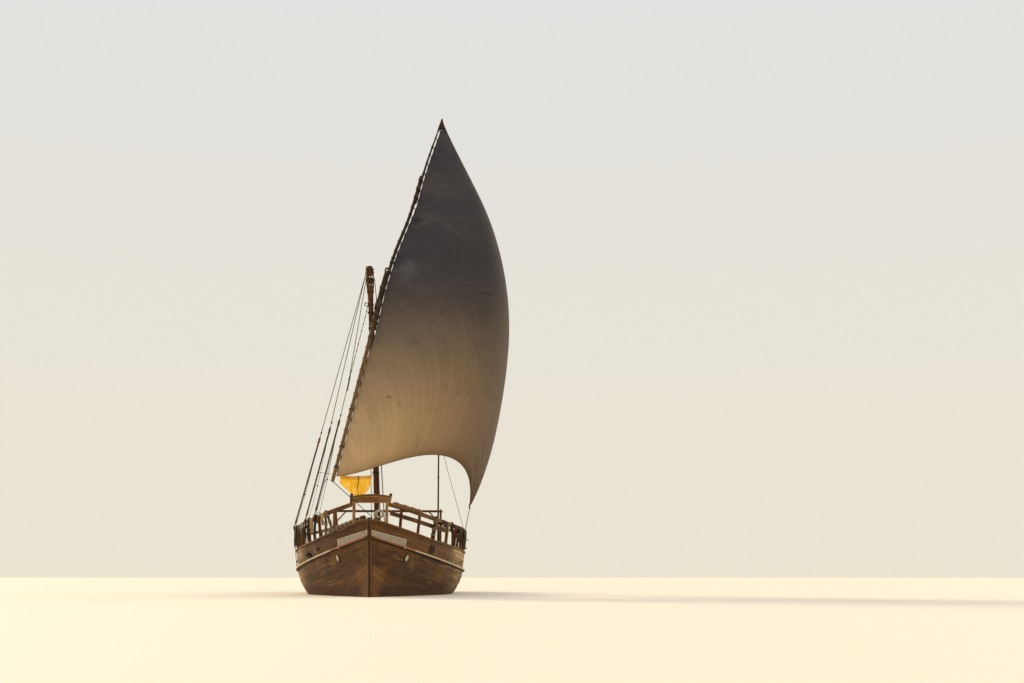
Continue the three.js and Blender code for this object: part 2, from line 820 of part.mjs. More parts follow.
// Lateen sail: bellied to port, hung from the yard by short ties
const sailShape = {
  peak: vec(-3700, 2880, 25100),
  rise: 1788,
  riseSkew: 1.566,
  lee: 938,
  leeSkew: 2.305,
  belly: 2629,
  bellySkew: 0.88,
  bellyDown: 1.101,
  leech: 2490,
  leechDown: 1.369,
  leechPower: 0.818,
  footGather: 1.5,
};
const leeward = vec(0.42308, 0.89801, 0.12073);
const luffGap = 190;
const sailThick = 16;
const luffOffset = (t) =>
  sparOffset(1, t) * smooth((t - 0.28) / 0.1) +
  (sparOffset(2, t) - sparOffset(1, t)) * smooth((t - 0.64) / 0.1);
const yardShare = (v) => 0.985 - 0.968 * v; // the place along the yard above a point of the luff
const luffPoint = (v) => yardPoint(yardShare(v), luffOffset(yardShare(v)) + luffGap);
function sailPoint(u, v) {
  const f = sailShape;
  const bump = (x, skew, power) => Math.sin(Math.PI * x ** skew) ** power;
  const leech = f.peak.clone().lerp(clew, v);
  const point = luffPoint(v).lerp(leech, u);
  const gather = v ** f.footGather;
  point.z += gather * f.rise * bump(u, f.riseSkew, 0.8);
  const draft =
    gather * f.lee * bump(u, f.leeSkew, 0.9) +
    f.belly * bump(u, f.bellySkew, 1) * bump(v, f.bellyDown, 0.9) +
    f.leech * u ** 1.5 * bump(v, f.leechDown, f.leechPower);
  return point.addScaledVector(leeward, draft);
}

// A thin closed sheet through a grid of points
function cloth(grid, thick) {
  const rows = grid.length;
  const columns = grid[0].length;
  const normalAt = (r, c) => {
    const down = grid[Math.min(r + 1, rows - 1)][c].clone().sub(grid[Math.max(r - 1, 0)][c]);
    const across = grid[r][Math.min(c + 1, columns - 1)].clone().sub(grid[r][Math.max(c - 1, 0)]);
    return across.cross(down).normalize();
  };
  const layer = (offset) =>
    grid.flatMap((row, r) => row.map((p, c) => p.clone().addScaledVector(normalAt(r, c), offset)));
  const back = rows * columns;
  const faces = [];
  for (let r = 0; r + 1 < rows; r++) {
    for (let c = 0; c + 1 < columns; c++) {
      const [a, b] = [r * columns + c, r * columns + c + 1];
      const [d, e] = [a + columns, b + columns];
      faces.push([a, b, e], [a, e, d]);
      faces.push([back + a, back + e, back + b], [back + a, back + d, back + e]);
    }
  }
  const rim = [
    ...Array.from({ length: columns - 1 }, (_, c) => c),
    ...Array.from({ length: rows - 1 }, (_, r) => r * columns + columns - 1),
    ...Array.from({ length: columns - 1 }, (_, c) => rows * columns - 1 - c),
    ...Array.from({ length: rows - 1 }, (_, r) => (rows - 1 - r) * columns),
  ];
  rim.forEach((a, i) => {
    const b = rim[(i + 1) % rim.length];
    faces.push([a, back + a, back + b], [a, back + b, b]);
  });
  return outward(geometryOf([...layer(thick / 2), ...layer(-thick / 2)], faces));
}

const sailRows = 16;
const sailColumns = 14;
const sailDown = (r) => lerp(0.02, 1, r / sailRows);
const sailGrid = Array.from({ length: sailRows + 1 }, (_, r) =>
  Array.from({ length: sailColumns + 1 }, (_, c) => sailPoint(c / sailColumns, sailDown(r))),
);
const tieRadius = 9;
const ties = sailGrid.map(([luff, next], r) => {
  const t = yardShare(sailDown(r));
  const index = yardSpars.findLastIndex(({ from }) => t > from);
  const start = luff.clone().lerp(next, 0.04);
  return bar([start, yardPoint(t, sparOffset(index, t))], tieRadius, 6);
});
const offSpars = (geometry) => cut(geometry, ...yardSpars.map((_, i) => sparBar(i, 0.8)));
add("sail", "canvas", offSpars(join([cloth(sailGrid, sailThick), ...ties])));

// Parrel: a rope collar that turns on the mast, with a strop to the yard
const parrelZ = 12950;
const ropeRadius = 22;
function collarAround(z, inner, tube) {
  const axis = mastAxis.clone();
  const across = vec(0, 1, 0).cross(axis).normalize();
  const other = axis.clone().cross(across);
  const collar = new THREE.LatheGeometry(
    [
      [inner, -tube],
      [inner + 2 * tube, -tube],
      [inner + 2 * tube, tube],
      [inner, tube],
      [inner, -tube],
    ].map(([x, y]) => new THREE.Vector2(x, y)),
    mastSides * 2,
  );
  const turned = new THREE.Matrix4().makeBasis(across, axis, other.negate());
  return collar.applyMatrix4(turned.setPosition(mastAt(z)));
}
const yardAxisAt = (z) => {
  const t = Array.from({ length: 401 }, (_, i) => i / 400).find((k) => yardPoint(k, 0).z >= z);
  return yardPoint(t, 0);
};
const offYard = (geometry) => cut(geometry, sparBar(0, 0.8));
add(
  "yard_parrel",
  "rope",
  offYard(
    join([
      collarAround(parrelZ, mastRadius(parrelZ) + 6, ropeRadius),
      bar([mastAt(parrelZ).add(vec(60, mastRadius(parrelZ) + 30, 0)), yardAxisAt(parrelZ)], 20, 8),
    ]),
  ),
);

// Rigging of the mast
const blockOf = (middle, along, long, wide) =>
  bar(
    [-0.5, -0.3, 0, 0.3, 0.5].map((k) => middle.clone().addScaledVector(along, k * long)),
    [0.35, 0.85, 1, 0.85, 0.35].map((k) => (k * wide) / 2),
    8,
  );
const outside = (side, s, height, out) => {
  const z = waleAt(s) + height;
  return place(s, side * (halfAt(s, z) + out), z);
};
const shrouds = [
  { name: "shroud_aft", head: 14950, block: [3500, -2840, 7100], foot: 2000 },
  { name: "shroud_middle", head: 14820, block: [5000, -2250, 7420], foot: 5700 },
  {
    name: "shroud_fore",
    head: 14500,
    bridle: [5460, -1370, 9700], // its two legs meet here
    secondHead: 13320,
    block: [5560, -1790, 7740],
    foot: 7150,
  },
];
const railClear = 60;
const legsApart = 36; // half the space between the two legs where they meet
const headSink = 15; // how far a rope's end goes into the mast before it is trimmed
function hounds(z, target) {
  const axis = mastAt(z);
  const towards = target.clone().sub(axis).setZ(0).normalize();
  return axis.addScaledVector(towards, mastRadius(z) - headSink);
}
for (const { name, head, bridle, secondHead, block, foot } of shrouds) {
  const middle = vec(...block);
  const knot = bridle ? vec(...bridle) : middle;
  const inward = mastAt(knot.z).sub(knot).setZ(0).normalize().multiplyScalar(legsApart);
  const legs = bridle
    ? [
        [hounds(head, knot), knot.clone().sub(inward)],
        [hounds(secondHead, knot), knot.clone().add(inward)],
        [knot, middle],
      ]
    : [[hounds(head, middle), middle]];
  const thimble = bridle ? [blockOf(knot, vec(0, 0, 1), 240, 170)] : [];
  const rail = outside(-1, foot, railTopAt(foot), railClear);
  const lower = outside(-1, foot, waleHigh + 40 + seam, railClear + 10);
  const end = rail.clone().lerp(middle, 0.08);
  const along = middle.clone().sub(rail).normalize();
  const spread = vec(1, 0, 0).multiplyScalar(55);
  add(
    name,
    "rope",
    offMast(
      join([
        ...legs.map((leg) => bar(leg, 20, 6)),
        ...thimble,
        blockOf(middle, along, 380, 150),
        ...[-1, 1].map((k) =>
          bar(
            [
              middle.clone().addScaledVector(spread, k * 0.6),
              end.clone().addScaledVector(spread, k * 0.6),
            ],
            16,
            6,
          ),
        ),
        blockOf(end, along, 300, 130),
        bar([end, rail, lower], 18, 6),
        blockOf(lower.clone().add(vec(0, 0, 30)), vec(1, 0, 0), 110, 70),
      ]),
    ),
  );
}

// Halyard: the running part holds the yard, the falls lead down beside the mast
const slingZ = 13200;
const slingSide = yardAxisAt(slingZ).sub(mastAt(slingZ)).setZ(0).normalize();
const halyardHead = mastAt(14500).addScaledVector(slingSide, mastRadius(14500) + 32);
add("halyard", "rope", offYard(bar([halyardHead, yardAxisAt(slingZ)], ropeRadius, 8)));
const fallOffset = 330;
for (const [label, side] of Object.entries(sides)) {
  const sheave = mastAt(14360).add(vec(-120, slot[label], 0));
  const head = mastAt(14280).add(vec(-270, side * 60, 0));
  const foot = mastAt(1650).add(vec(-260, side * fallOffset, 0));
  foot.z = partners.top + 1 + seam;
  const along = head.clone().sub(foot).normalize();
  const block = foot.clone().addScaledVector(along, 1150);
  add(
    `halyard_fall_${label}`,
    "rope",
    offMast(
      cut(
        join([
          bar([foot.clone().addScaledVector(along, -60), head, sheave], 18, 6),
          blockOf(block, along, 520, 240),
        ]),
        partnersBox(seam),
      ),
    ),
  );
}

// Sheet from the clew to the lee rail, and tack tackle from the heel of the yard to the stem
const sheetStation = -1500;
const sheetFoot = railPoint(1, sheetStation, railTopAt(sheetStation)).add(vec(0, 0, -10));
const sheetHead = sailPoint(1, 1).add(vec(-20, 20, -40));
const leeRail = nudged(openRail(1, "port"), 0, 0, 2 * seam);
add("sheet_rope", "rope", cut(bar([sheetHead, sheetFoot], 20, 8), leeRail));
const tackStation = 11040;
const tackFoot = railPoint(1, tackStation, capHighAt(tackStation) + 20);
const tackHead = yardPoint(0.004, 0).add(vec(40, 20, -110));
add("tack_rope", "rope", offYard(bar([tackHead, tackFoot], 20, 8)));
const stayTop = vec(-7820, 2790, 8300);
const stayStation = -2000;
const stayFoot = railPoint(1, stayStation, railTopAt(stayStation)).add(vec(0, 0, -10));
const poleCutter = bar([poleFoot, poleTop], [poleRadius + 0.5, 38.5], 10);
add("pole_stay", "rope", cut(bar([stayTop, stayFoot], 14, 6), poleCutter, leeRail));

// Rudder: hung on the stern post by three pintles, turned by a tiller over the transom
const rakeLength = Math.hypot(1, transomRake);
const rakeUp = vec(transomRake, 0, 1).divideScalar(rakeLength);
const noseRadius = 70;
const rudderGap = 12;
const axisOut = transomThick + postDeep + (noseRadius + rudderGap) * rakeLength;
const rudderAxis = (z) => vec(transomX + transomRake * z - axisOut, 0, z);
const rudderFrame = new THREE.Matrix4()
  .makeBasis(rakeUp.clone().cross(vec(0, -1, 0)).normalize(), vec(0, 1, 0), rakeUp)
  .setPosition(rudderAxis(0));
const toRudder = (geometry) => geometry.applyMatrix4(rudderFrame);
const rudderHead = 3520;
const bladeOutline = [
  [0, -1750],
  [-900, -1650],
  [-1250, -1150],
  [-1050, -100],
  [-620, 900],
  [-420, 1500],
  [-330, rudderHead],
  [0, rudderHead],
];
const pintleHeights = [-1150, 150, 1450];
const notchHigh = 110;
const bladeThick = 130;
const rudderBlade = join([
  slab(bladeOutline, bladeThick),
  bar([vec(0, 0, -1750), vec(0, 0, rudderHead)], noseRadius, 16),
]);
const notches = pintleHeights.map((z) => box(-88, 200, -200, 200, z, z + notchHigh));
const pintles = pintleHeights.map((z) =>
  bar([vec(0, 0, z - 20), vec(0, 0, z + notchHigh + 20)], 28, 16),
);
const mortise = { low: 3300, high: 3396, half: 48 };
const headHole = box(-500, 300, -mortise.half, mortise.half, mortise.low, mortise.high);
add(
  "rudder",
  "planking",
  toRudder(cut(join([cut(rudderBlade, ...notches), ...pintles]), headHole)),
);
const tillerEnd = 2500;
add(
  "tiller",
  "spar",
  toRudder(
    loft(
      [
        [-430, 47],
        [0, 47],
        [300, 47],
        [tillerEnd * 0.6, 42],
        [tillerEnd, 32],
      ].map(([x, half]) => {
        const lift = Math.min(0, 300 - x) * 0.1;
        const middle = (mortise.low + mortise.high) / 2 + lift;
        return [
          vec(x, -half, middle - half),
          vec(x, half, middle - half),
          vec(x, half, middle + half),
          vec(x, -half, middle + half),
        ];
      }),
    ),
  ),
);
const strapHigh = 80;
const postFace = noseRadius + rudderGap;
const gudgeonNames = ["gudgeon_lower", "gudgeon_middle", "gudgeon_upper"];
pintleHeights.forEach((z, i) => {
  const low = z + (notchHigh - strapHigh) / 2;
  const ring = new THREE.LatheGeometry(
    [
      [30, low],
      [64, low],
      [64, low + strapHigh],
      [30, low + strapHigh],
      [30, low],
    ].map(([x, y]) => new THREE.Vector2(x, y)),
    16,
  ).rotateX(Math.PI / 2);
  const arm = cut(
    box(40, postFace - seam, -backbone / 2 + 40, backbone / 2 - 40, low, low + strapHigh),
    bar([vec(0, 0, low - 50), vec(0, 0, low + strapHigh + 50)], 45, 16),
  );
  add(gudgeonNames[i], "iron", toRudder(join([ring, arm])));
});

// Cloth hung to dry on a line beside the mast
const hungCloth = { x: 4250, near: -300, far: -1800, high: 5470, low: 4500 };
const clothThick = 14;
add(
  "hanging_cloth",
  "awning",
  offMast(
    join([
      box(
        hungCloth.x - clothThick / 2,
        hungCloth.x + clothThick / 2,
        hungCloth.far,
        hungCloth.near,
        hungCloth.low,
        hungCloth.high,
      ),
      bar([vec(hungCloth.x, hungCloth.near - 20, hungCloth.high - 15), mastAt(5600)], 12, 6),
    ]),
  ),
);

export default dhow;
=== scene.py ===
import math
import random

import bmesh
import bpy
import numpy as np
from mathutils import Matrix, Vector, geometry


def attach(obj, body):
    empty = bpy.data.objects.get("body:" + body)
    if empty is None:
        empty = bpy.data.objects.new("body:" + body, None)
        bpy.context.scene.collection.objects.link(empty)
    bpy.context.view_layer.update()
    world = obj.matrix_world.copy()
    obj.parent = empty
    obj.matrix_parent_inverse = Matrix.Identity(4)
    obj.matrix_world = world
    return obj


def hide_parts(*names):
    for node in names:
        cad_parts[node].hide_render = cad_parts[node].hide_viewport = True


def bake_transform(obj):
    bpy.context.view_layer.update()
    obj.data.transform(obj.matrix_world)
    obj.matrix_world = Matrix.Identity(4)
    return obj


# A lateen-rigged wooden dhow under sail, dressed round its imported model.
# Metres. +X runs forward, +Y to port, +Z up. The origin is on the waterline, amidships.
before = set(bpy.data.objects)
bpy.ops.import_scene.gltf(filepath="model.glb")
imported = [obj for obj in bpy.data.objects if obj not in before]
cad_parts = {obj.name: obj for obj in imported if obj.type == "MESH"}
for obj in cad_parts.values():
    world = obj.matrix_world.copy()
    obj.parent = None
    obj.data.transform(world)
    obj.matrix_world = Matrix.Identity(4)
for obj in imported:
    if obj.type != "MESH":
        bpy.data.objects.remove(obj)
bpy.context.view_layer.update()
scene = bpy.context.scene
print("frame loaded")


# Camera, floor and light

cameraLook = {
    "place": (70.434, 2.791, 0.854),
    "azimuth": 2.9326,  # degrees to port of dead aft
    "pitch": 9.363,
    "lens": 50.0,
    "sensor": 36.0,
    "reach": 1500.0,
}
stageLook = {
    "floorHalf": 700.0,
    "floorColor": "#dcd7cb",
    "skyLow": "#fbf3df",
    "skyHigh": "#eef0f3",
    "skyStrength": 0.86,
}
lightLook = {
    # name: (direction that it comes from, strength, spread in degrees, color)
    "keyLight": ((-0.78, -0.62, 0.40), 3.5, 20, "#ffdfae"),
    "fillLight": ((0.95, 0.10, 0.35), 0.7, 70, "#fff0da"),
    "sideLight": ((-0.72, 0.66, 0.34), 1.3, 30, "#ffe2b4"),
}


def tint(code):
    # A hex color as linear red, green, blue and alpha
    parts = [int(code[i:i + 2], 16) / 255 for i in (1, 3, 5)]
    return (*[p / 12.92 if p <= 0.04045 else ((p + 0.055) / 1.055) ** 2.4 for p in parts], 1.0)


def linked(name, data):
    made = bpy.data.objects.new(name, data)
    scene.collection.objects.link(made)
    return made


def node(tree, kind, inputs=None, **settings):
    # A shader or geometry node with its settings; an input is a value or another node's output
    made = tree.nodes.new(kind)
    for key, value in settings.items():
        setattr(made, key, value)
    for key, value in (inputs or {}).items():
        if isinstance(value, bpy.types.NodeSocket):
            tree.links.new(value, made.inputs[key])
        else:
            made.inputs[key].default_value = value
    return made


def addCamera():
    azimuth = math.radians(cameraLook["azimuth"])
    pitch = math.radians(cameraLook["pitch"])
    flat = math.cos(pitch)
    ahead = Vector((-math.cos(azimuth) * flat, math.sin(azimuth) * flat, math.sin(pitch)))
    data = bpy.data.cameras.new("camera")
    data.lens = cameraLook["lens"]
    data.sensor_width = cameraLook["sensor"]
    data.clip_end = cameraLook["reach"]
    holder = linked("camera", data)
    holder.location = cameraLook["place"]
    holder.rotation_euler = ahead.to_track_quat("-Z", "Y").to_euler()
    scene.camera = holder


def addStage():
    reach = stageLook["floorHalf"]
    mesh = bpy.data.meshes.new("floor")
    corners = [(-reach, -reach, 0), (reach, -reach, 0), (reach, reach, 0), (-reach, reach, 0)]
    mesh.from_pydata(corners, [], [(0, 1, 2, 3)])
    pale = bpy.data.materials.new("floorPale")
    pale.use_nodes = True
    shader = pale.node_tree.nodes["Principled BSDF"]
    shader.inputs["Base Color"].default_value = tint(stageLook["floorColor"])
    shader.inputs["Roughness"].default_value = 0.85
    mesh.materials.append(pale)
    floor = linked("floor", mesh)

    world = bpy.data.worlds.new("studio")
    world.use_nodes = True
    tree = world.node_tree
    place = node(tree, "ShaderNodeTexCoord")
    height = node(tree, "ShaderNodeSeparateXYZ", {0: place.outputs["Generated"]})
    rise = node(tree, "ShaderNodeMapRange", {0: height.outputs["Z"], 1: 0.0, 2: 0.5})
    sky = node(tree, "ShaderNodeMix", {
        0: rise.outputs[0], 6: tint(stageLook["skyLow"]), 7: tint(stageLook["skyHigh"]),
    }, data_type="RGBA")
    back = tree.nodes["Background"]
    tree.links.new(sky.outputs[2], back.inputs["Color"])
    back.inputs["Strength"].default_value = stageLook["skyStrength"]
    scene.world = world

    for name, (toward, strength, spread, color) in lightLook.items():
        data = bpy.data.lights.new(name, "SUN")
        data.energy = strength
        data.angle = math.radians(spread)
        data.color = tint(color)[:3]
        linked(name, data).rotation_euler = Vector(toward).to_track_quat("Z", "Y").to_euler()


addCamera()
addStage()
scene.view_settings.view_transform = "Standard"
print("camera, floor and light set")


# Shader groups shared by the materials


def shaderGroup(name, inputs, outputs):
    tree = bpy.data.node_groups.new(name, "ShaderNodeTree")
    for label, value in inputs.items():
        kind = "NodeSocketVector" if value is None else "NodeSocketFloat"
        socket = tree.interface.new_socket(label, in_out="INPUT", socket_type=kind)
        if value is not None:
            socket.default_value = value
    for label in outputs:
        tree.interface.new_socket(label, in_out="OUTPUT", socket_type="NodeSocketFloat")
    return tree, tree.nodes.new("NodeGroupInput"), tree.nodes.new("NodeGroupOutput")


def math2(tree, operation, a, b=0.0):
    return node(tree, "ShaderNodeMath", {0: a, 1: b}, operation=operation).outputs[0]


def times(tree, a, b):
    return math2(tree, "MULTIPLY", a, b)


def plus(tree, a, b):
    return math2(tree, "ADD", a, b)


def stretched(tree, vector, sizes):
    return node(tree, "ShaderNodeVectorMath", {0: vector, 1: sizes}, operation="MULTIPLY").outputs[0]


def spread(tree, value, low, high, outLow=0.0, outHigh=1.0):
    # Maps low to outLow and high to outHigh, smoothly, and holds beyond them
    made = node(tree, "ShaderNodeMapRange", {0: value, 1: low, 2: high, 3: outLow, 4: outHigh},
                interpolation_type="SMOOTHSTEP")
    return made.outputs[0]


def noise(tree, vector, scale, detail=4.0, roughness=0.55, distortion=0.0):
    made = node(tree, "ShaderNodeTexNoise", {
        "Vector": vector, "Scale": scale, "Detail": detail, "Roughness": roughness,
        "Distortion": distortion,
    })
    return made.outputs["Fac"]


def makeGrainGroup():
    # Long fibers along the first axis of the vector, with fine open pores
    tree, given, out = shaderGroup("woodGrain", {"Vector": None, "Scale": 1.0}, ["Figure", "Height"])
    slim = stretched(tree, given.outputs["Vector"], (0.09, 1.0, 1.0))
    sized = node(tree, "ShaderNodeVectorMath", {0: slim, "Scale": given.outputs["Scale"]},
                 operation="SCALE").outputs[0]
    broad = noise(tree, sized, 14.0, 3.0, 0.5, 0.6)
    fine = noise(tree, sized, 95.0, 3.0, 0.6)
    both = plus(tree, times(tree, broad, 0.62), times(tree, fine, 0.38))
    figure = spread(tree, both, 0.26, 0.74)
    tree.links.new(figure, out.inputs["Figure"])
    tree.links.new(math2(tree, "POWER", figure, 0.7), out.inputs["Height"])
    return tree


def makeWearGroup():
    # Breaks the smooth wear along edges into chips and scuffs
    tree, given, out = shaderGroup(
        "edgeWear", {"Vector": None, "Wear": 0.0, "Scale": 6.0, "Amount": 0.7}, ["Mask"])
    rough = noise(tree, given.outputs["Vector"], given.outputs["Scale"], 5.0, 0.65)
    lifted = plus(tree, given.outputs["Wear"], math2(tree, "SUBTRACT", rough, 0.5))
    chips = spread(tree, lifted, 0.45, 0.85)
    tree.links.new(times(tree, chips, given.outputs["Amount"]), out.inputs["Mask"])
    return tree


def makeWeatherGroup():
    # Broad stains and bleached patches
    tree, given, out = shaderGroup(
        "weathering", {"Vector": None, "Scale": 0.8, "Low": 0.5, "High": 0.7}, ["Mask"])
    cloud = noise(tree, given.outputs["Vector"], given.outputs["Scale"], 6.0, 0.62, 0.4)
    made = node(tree, "ShaderNodeMapRange", {
        0: cloud, 1: given.outputs["Low"], 2: given.outputs["High"],
    }, interpolation_type="SMOOTHSTEP")
    tree.links.new(made.outputs[0], out.inputs["Mask"])
    return tree


def makeWeaveGroup():
    # Crossed threads, counted per metre, on a flat map in metres
    tree, given, out = shaderGroup("clothWeave", {"Vector": None, "Threads": 900.0}, ["Height", "Slub"])
    split = node(tree, "ShaderNodeSeparateXYZ", {0: given.outputs["Vector"]})
    turns = times(tree, given.outputs["Threads"], 2 * math.pi)
    waves = [
        math2(tree, "ABSOLUTE", math2(tree, "SINE", times(tree, split.outputs[axis], turns)))
        for axis in ("X", "Y")
    ]
    tree.links.new(math2(tree, "MAXIMUM", *waves), out.inputs["Height"])
    long = stretched(tree, given.outputs["Vector"], (30.0, 2.0, 1.0))
    tree.links.new(spread(tree, noise(tree, long, 1.0, 3.0), 0.3, 0.7), out.inputs["Slub"])
    return tree


grainGroup = makeGrainGroup()
wearGroup = makeWearGroup()
weatherGroup = makeWeatherGroup()
weaveGroup = makeWeaveGroup()


def placed(tree, group, inputs):
    return node(tree, "ShaderNodeGroup", inputs, node_tree=group).outputs


def blended(tree, factor, a, b, way="MIX"):
    return node(tree, "ShaderNodeMix", {0: factor, 6: a, 7: b}, data_type="RGBA",
                blend_type=way).outputs[2]


def attribute(tree, name, output="Fac"):
    return node(tree, "ShaderNodeAttribute", attribute_name=name).outputs[output]


materials = {}


def newMaterial(name):
    made = bpy.data.materials.new(name)
    made.use_nodes = True
    materials[name] = made
    tree = made.node_tree
    everywhere = node(tree, "ShaderNodeTexCoord").outputs["Object"]
    return tree, tree.nodes["Principled BSDF"], everywhere


def bumped(tree, shader, height, strength, distance):
    made = node(tree, "ShaderNodeBump", {"Height": height, "Strength": strength, "Distance": distance})
    tree.links.new(made.outputs["Normal"], shader.inputs["Normal"])


def coated(tree, shader, color, mask, least, most):
    # The base color, and a roughness that follows the mask
    tree.links.new(color, shader.inputs["Base Color"])
    tree.links.new(spread(tree, mask, 0.0, 1.0, least, most), shader.inputs["Roughness"])


def stained(tree, everywhere, scale, low, high):
    return placed(tree, weatherGroup,
                  {"Vector": everywhere, "Scale": scale, "Low": low, "High": high})["Mask"]


def chipped(tree, everywhere, scale, amount):
    return placed(tree, wearGroup, {
        "Vector": everywhere, "Wear": attribute(tree, "wear"), "Scale": scale, "Amount": amount})["Mask"]


def woven(tree, threads):
    flat = node(tree, "ShaderNodeUVMap", uv_map="cloth").outputs["UV"]
    return placed(tree, weaveGroup, {"Vector": flat, "Threads": threads})


def tinged(tree, color, mask, share, shade):
    # The color with a share of the shade where the mask is
    return blended(tree, times(tree, mask, share), color, tint(shade))


# Woods: dark and light of the figure, worn edges and stains, and what differs from a plain wood
plainWood = {"wear": 0.3, "low": 0.5, "high": 0.8, "rough": 0.65, "grain": 1.0, "bump": 0.5}
woodLooks = {
    "hullPlank": {"dark": "#281506", "light": "#6a4319", "worn": "#765429", "stain": "#80612f",
        "high": 0.75, "rough": 0.62},
    "stemWood": {"dark": "#231204", "light": "#553614", "worn": "#65461f", "stain": "#5c401c",
        "wear": 0.35},
    "backbone": {"dark": "#170e08", "light": "#38241a", "worn": "#4c3420", "stain": "#3a281a",
        "wear": 0.35, "low": 0.55},
    "topside": {"dark": "#2a1806", "light": "#684218", "worn": "#7d5a2a", "stain": "#6e4e22",
        "wear": 0.4, "low": 0.48, "high": 0.78, "rough": 0.68, "bump": 0.6},
    "upperworks": {"dark": "#241405", "light": "#5f3c18", "worn": "#94693a", "stain": "#6e4f28",
        "wear": 0.55, "low": 0.42, "high": 0.72, "rough": 0.72, "grain": 1.2, "bump": 0.7},
    "deckPlank": {"dark": "#5b4630", "light": "#9b8160", "worn": "#6a543a", "stain": "#b3a085",
        "wear": 0.5, "low": 0.45, "high": 0.75, "rough": 0.78, "grain": 1.2},
    "sparWood": {"dark": "#160e07", "light": "#352514", "worn": "#4b3823", "stain": "#2e2115",
        "rough": 0.6, "grain": 1.1},
    "mastWood": {"dark": "#28160a", "light": "#664120", "worn": "#8a6238", "stain": "#4c351f",
        "rough": 0.58, "grain": 0.9, "bump": 0.6},
    # The lower yard spar: a lighter copy of the spar wood as painted sunlight, darkened higher up by painted
    # shade
    "sunlitLowSparWood": {"dark": "#46301a", "light": "#8c6840", "worn": "#ab8a5c", "stain": "#755a38",
        "rough": 0.6, "grain": 1.1, "shadeFrom": 10.5, "shadeTo": 13.0, "shadeColor": "#20160c"},
    "blockWood": {"dark": "#4a2c12", "light": "#9a6a36", "worn": "#b98a55", "stain": "#6d4a28",
        "wear": 0.5, "rough": 0.55, "grain": 2.5},
    "beamWood": {"dark": "#40260f", "light": "#8c5c30", "worn": "#b59064", "stain": "#95714a",
        "wear": 0.5, "low": 0.45, "high": 0.75, "rough": 0.7, "grain": 1.4, "bump": 0.6},
    # Dark fill for open seams between planks, and painted shade in the eye discs and scupper openings
    "darkJointAndShade": {"dark": "#0d0805", "light": "#1d120b", "worn": "#1d120b", "stain": "#241a12",
        "wear": 0.0, "rough": 0.9, "bump": 0.3},
}
woodLooks = {name: {**plainWood, **look} for name, look in woodLooks.items()}


def woodColor(tree, look, vector, everywhere):
    grain = placed(tree, grainGroup, {"Vector": vector, "Scale": look["grain"]})
    tone = attribute(tree, "tone")
    color = blended(tree, grain["Figure"], tint(look["dark"]), tint(look["light"]))
    value = spread(tree, tone, 0.0, 1.0, 0.62, 1.38)
    color = node(tree, "ShaderNodeHueSaturation", {"Value": value, "Color": color}).outputs[0]
    # Painted shade: darker with height, between the two given heights
    if "shadeFrom" in look:
        rise = node(tree, "ShaderNodeSeparateXYZ", {0: everywhere}).outputs["Z"]
        color = blended(tree, spread(tree, rise, look["shadeFrom"], look["shadeTo"], 0.0, 0.85), color,
                        tint(look["shadeColor"]))
    stains = stained(tree, everywhere, 0.7, look["low"], look["high"])
    color = tinged(tree, color, stains, 0.6, look["stain"])
    worn = chipped(tree, everywhere, 5.0, look["wear"])
    return blended(tree, worn, color, tint(look["worn"])), grain["Height"], worn


def bleachedAndHighlit(tree, color, axes, low, high):
    # Bleaching that runs along the planks, where the side is far enough out, and a painted highlight there
    # along the outer sides
    long = stretched(tree, attribute(tree, "grain", "Vector"), (0.5, 4.0, 4.0))
    along = spread(tree, noise(tree, long, 1.0, 6.0, 0.65), 0.36, 0.6)
    wide = spread(tree, math2(tree, "ABSOLUTE", axes["Y"]), low, high)
    return tinged(tree, color, times(tree, wide, along), hullPaint["paleShare"], hullPaint["paleColor"])


def topsideMaterial():
    # The bulwark boards, with bleaching and a painted highlight where they are widest
    look = woodLooks["topside"]
    tree, shader, everywhere = newMaterial("topside")
    color, height, worn = woodColor(tree, look, attribute(tree, "grain", "Vector"), everywhere)
    axes = node(tree, "ShaderNodeSeparateXYZ", {0: everywhere}).outputs
    color = bleachedAndHighlit(tree, color, axes, 3.25, 3.7)
    finishWood(tree, shader, look, color, height, worn)


def finishWood(tree, shader, look, color, height, worn):
    tree.links.new(color, shader.inputs["Base Color"])
    rough = plus(tree, times(tree, height, 0.16), look["rough"] - 0.08)
    tree.links.new(plus(tree, rough, times(tree, worn, 0.08)), shader.inputs["Roughness"])
    shader.inputs["Specular IOR Level"].default_value = 0.14
    bumped(tree, shader, height, look["bump"], 0.006)


def woodMaterial(name, followsGrain=True):
    look = woodLooks[name]
    tree, shader, everywhere = newMaterial(name if followsGrain else name + "Plain")
    vector = attribute(tree, "grain", "Vector") if followsGrain else everywhere
    finishWood(tree, shader, look, *woodColor(tree, look, vector, everywhere))


# The bottom paint, the quarters with bleaching and a painted highlight, and the pale foot of the stem on the
# planking
hullPaint = {
    "bootTop": 0.42, "bootColor": "#3a2013", "bootShare": 0.6,
    "paleColor": "#c9ab78", "paleFrom": 3.0, "paleTo": 4.05, "paleShare": 0.62,
    "footColor": "#8a5c28", "footX": 10.2, "footTop": 1.3,
    "streakLight": "#8d6a3a", "streakDark": "#170c04",
}


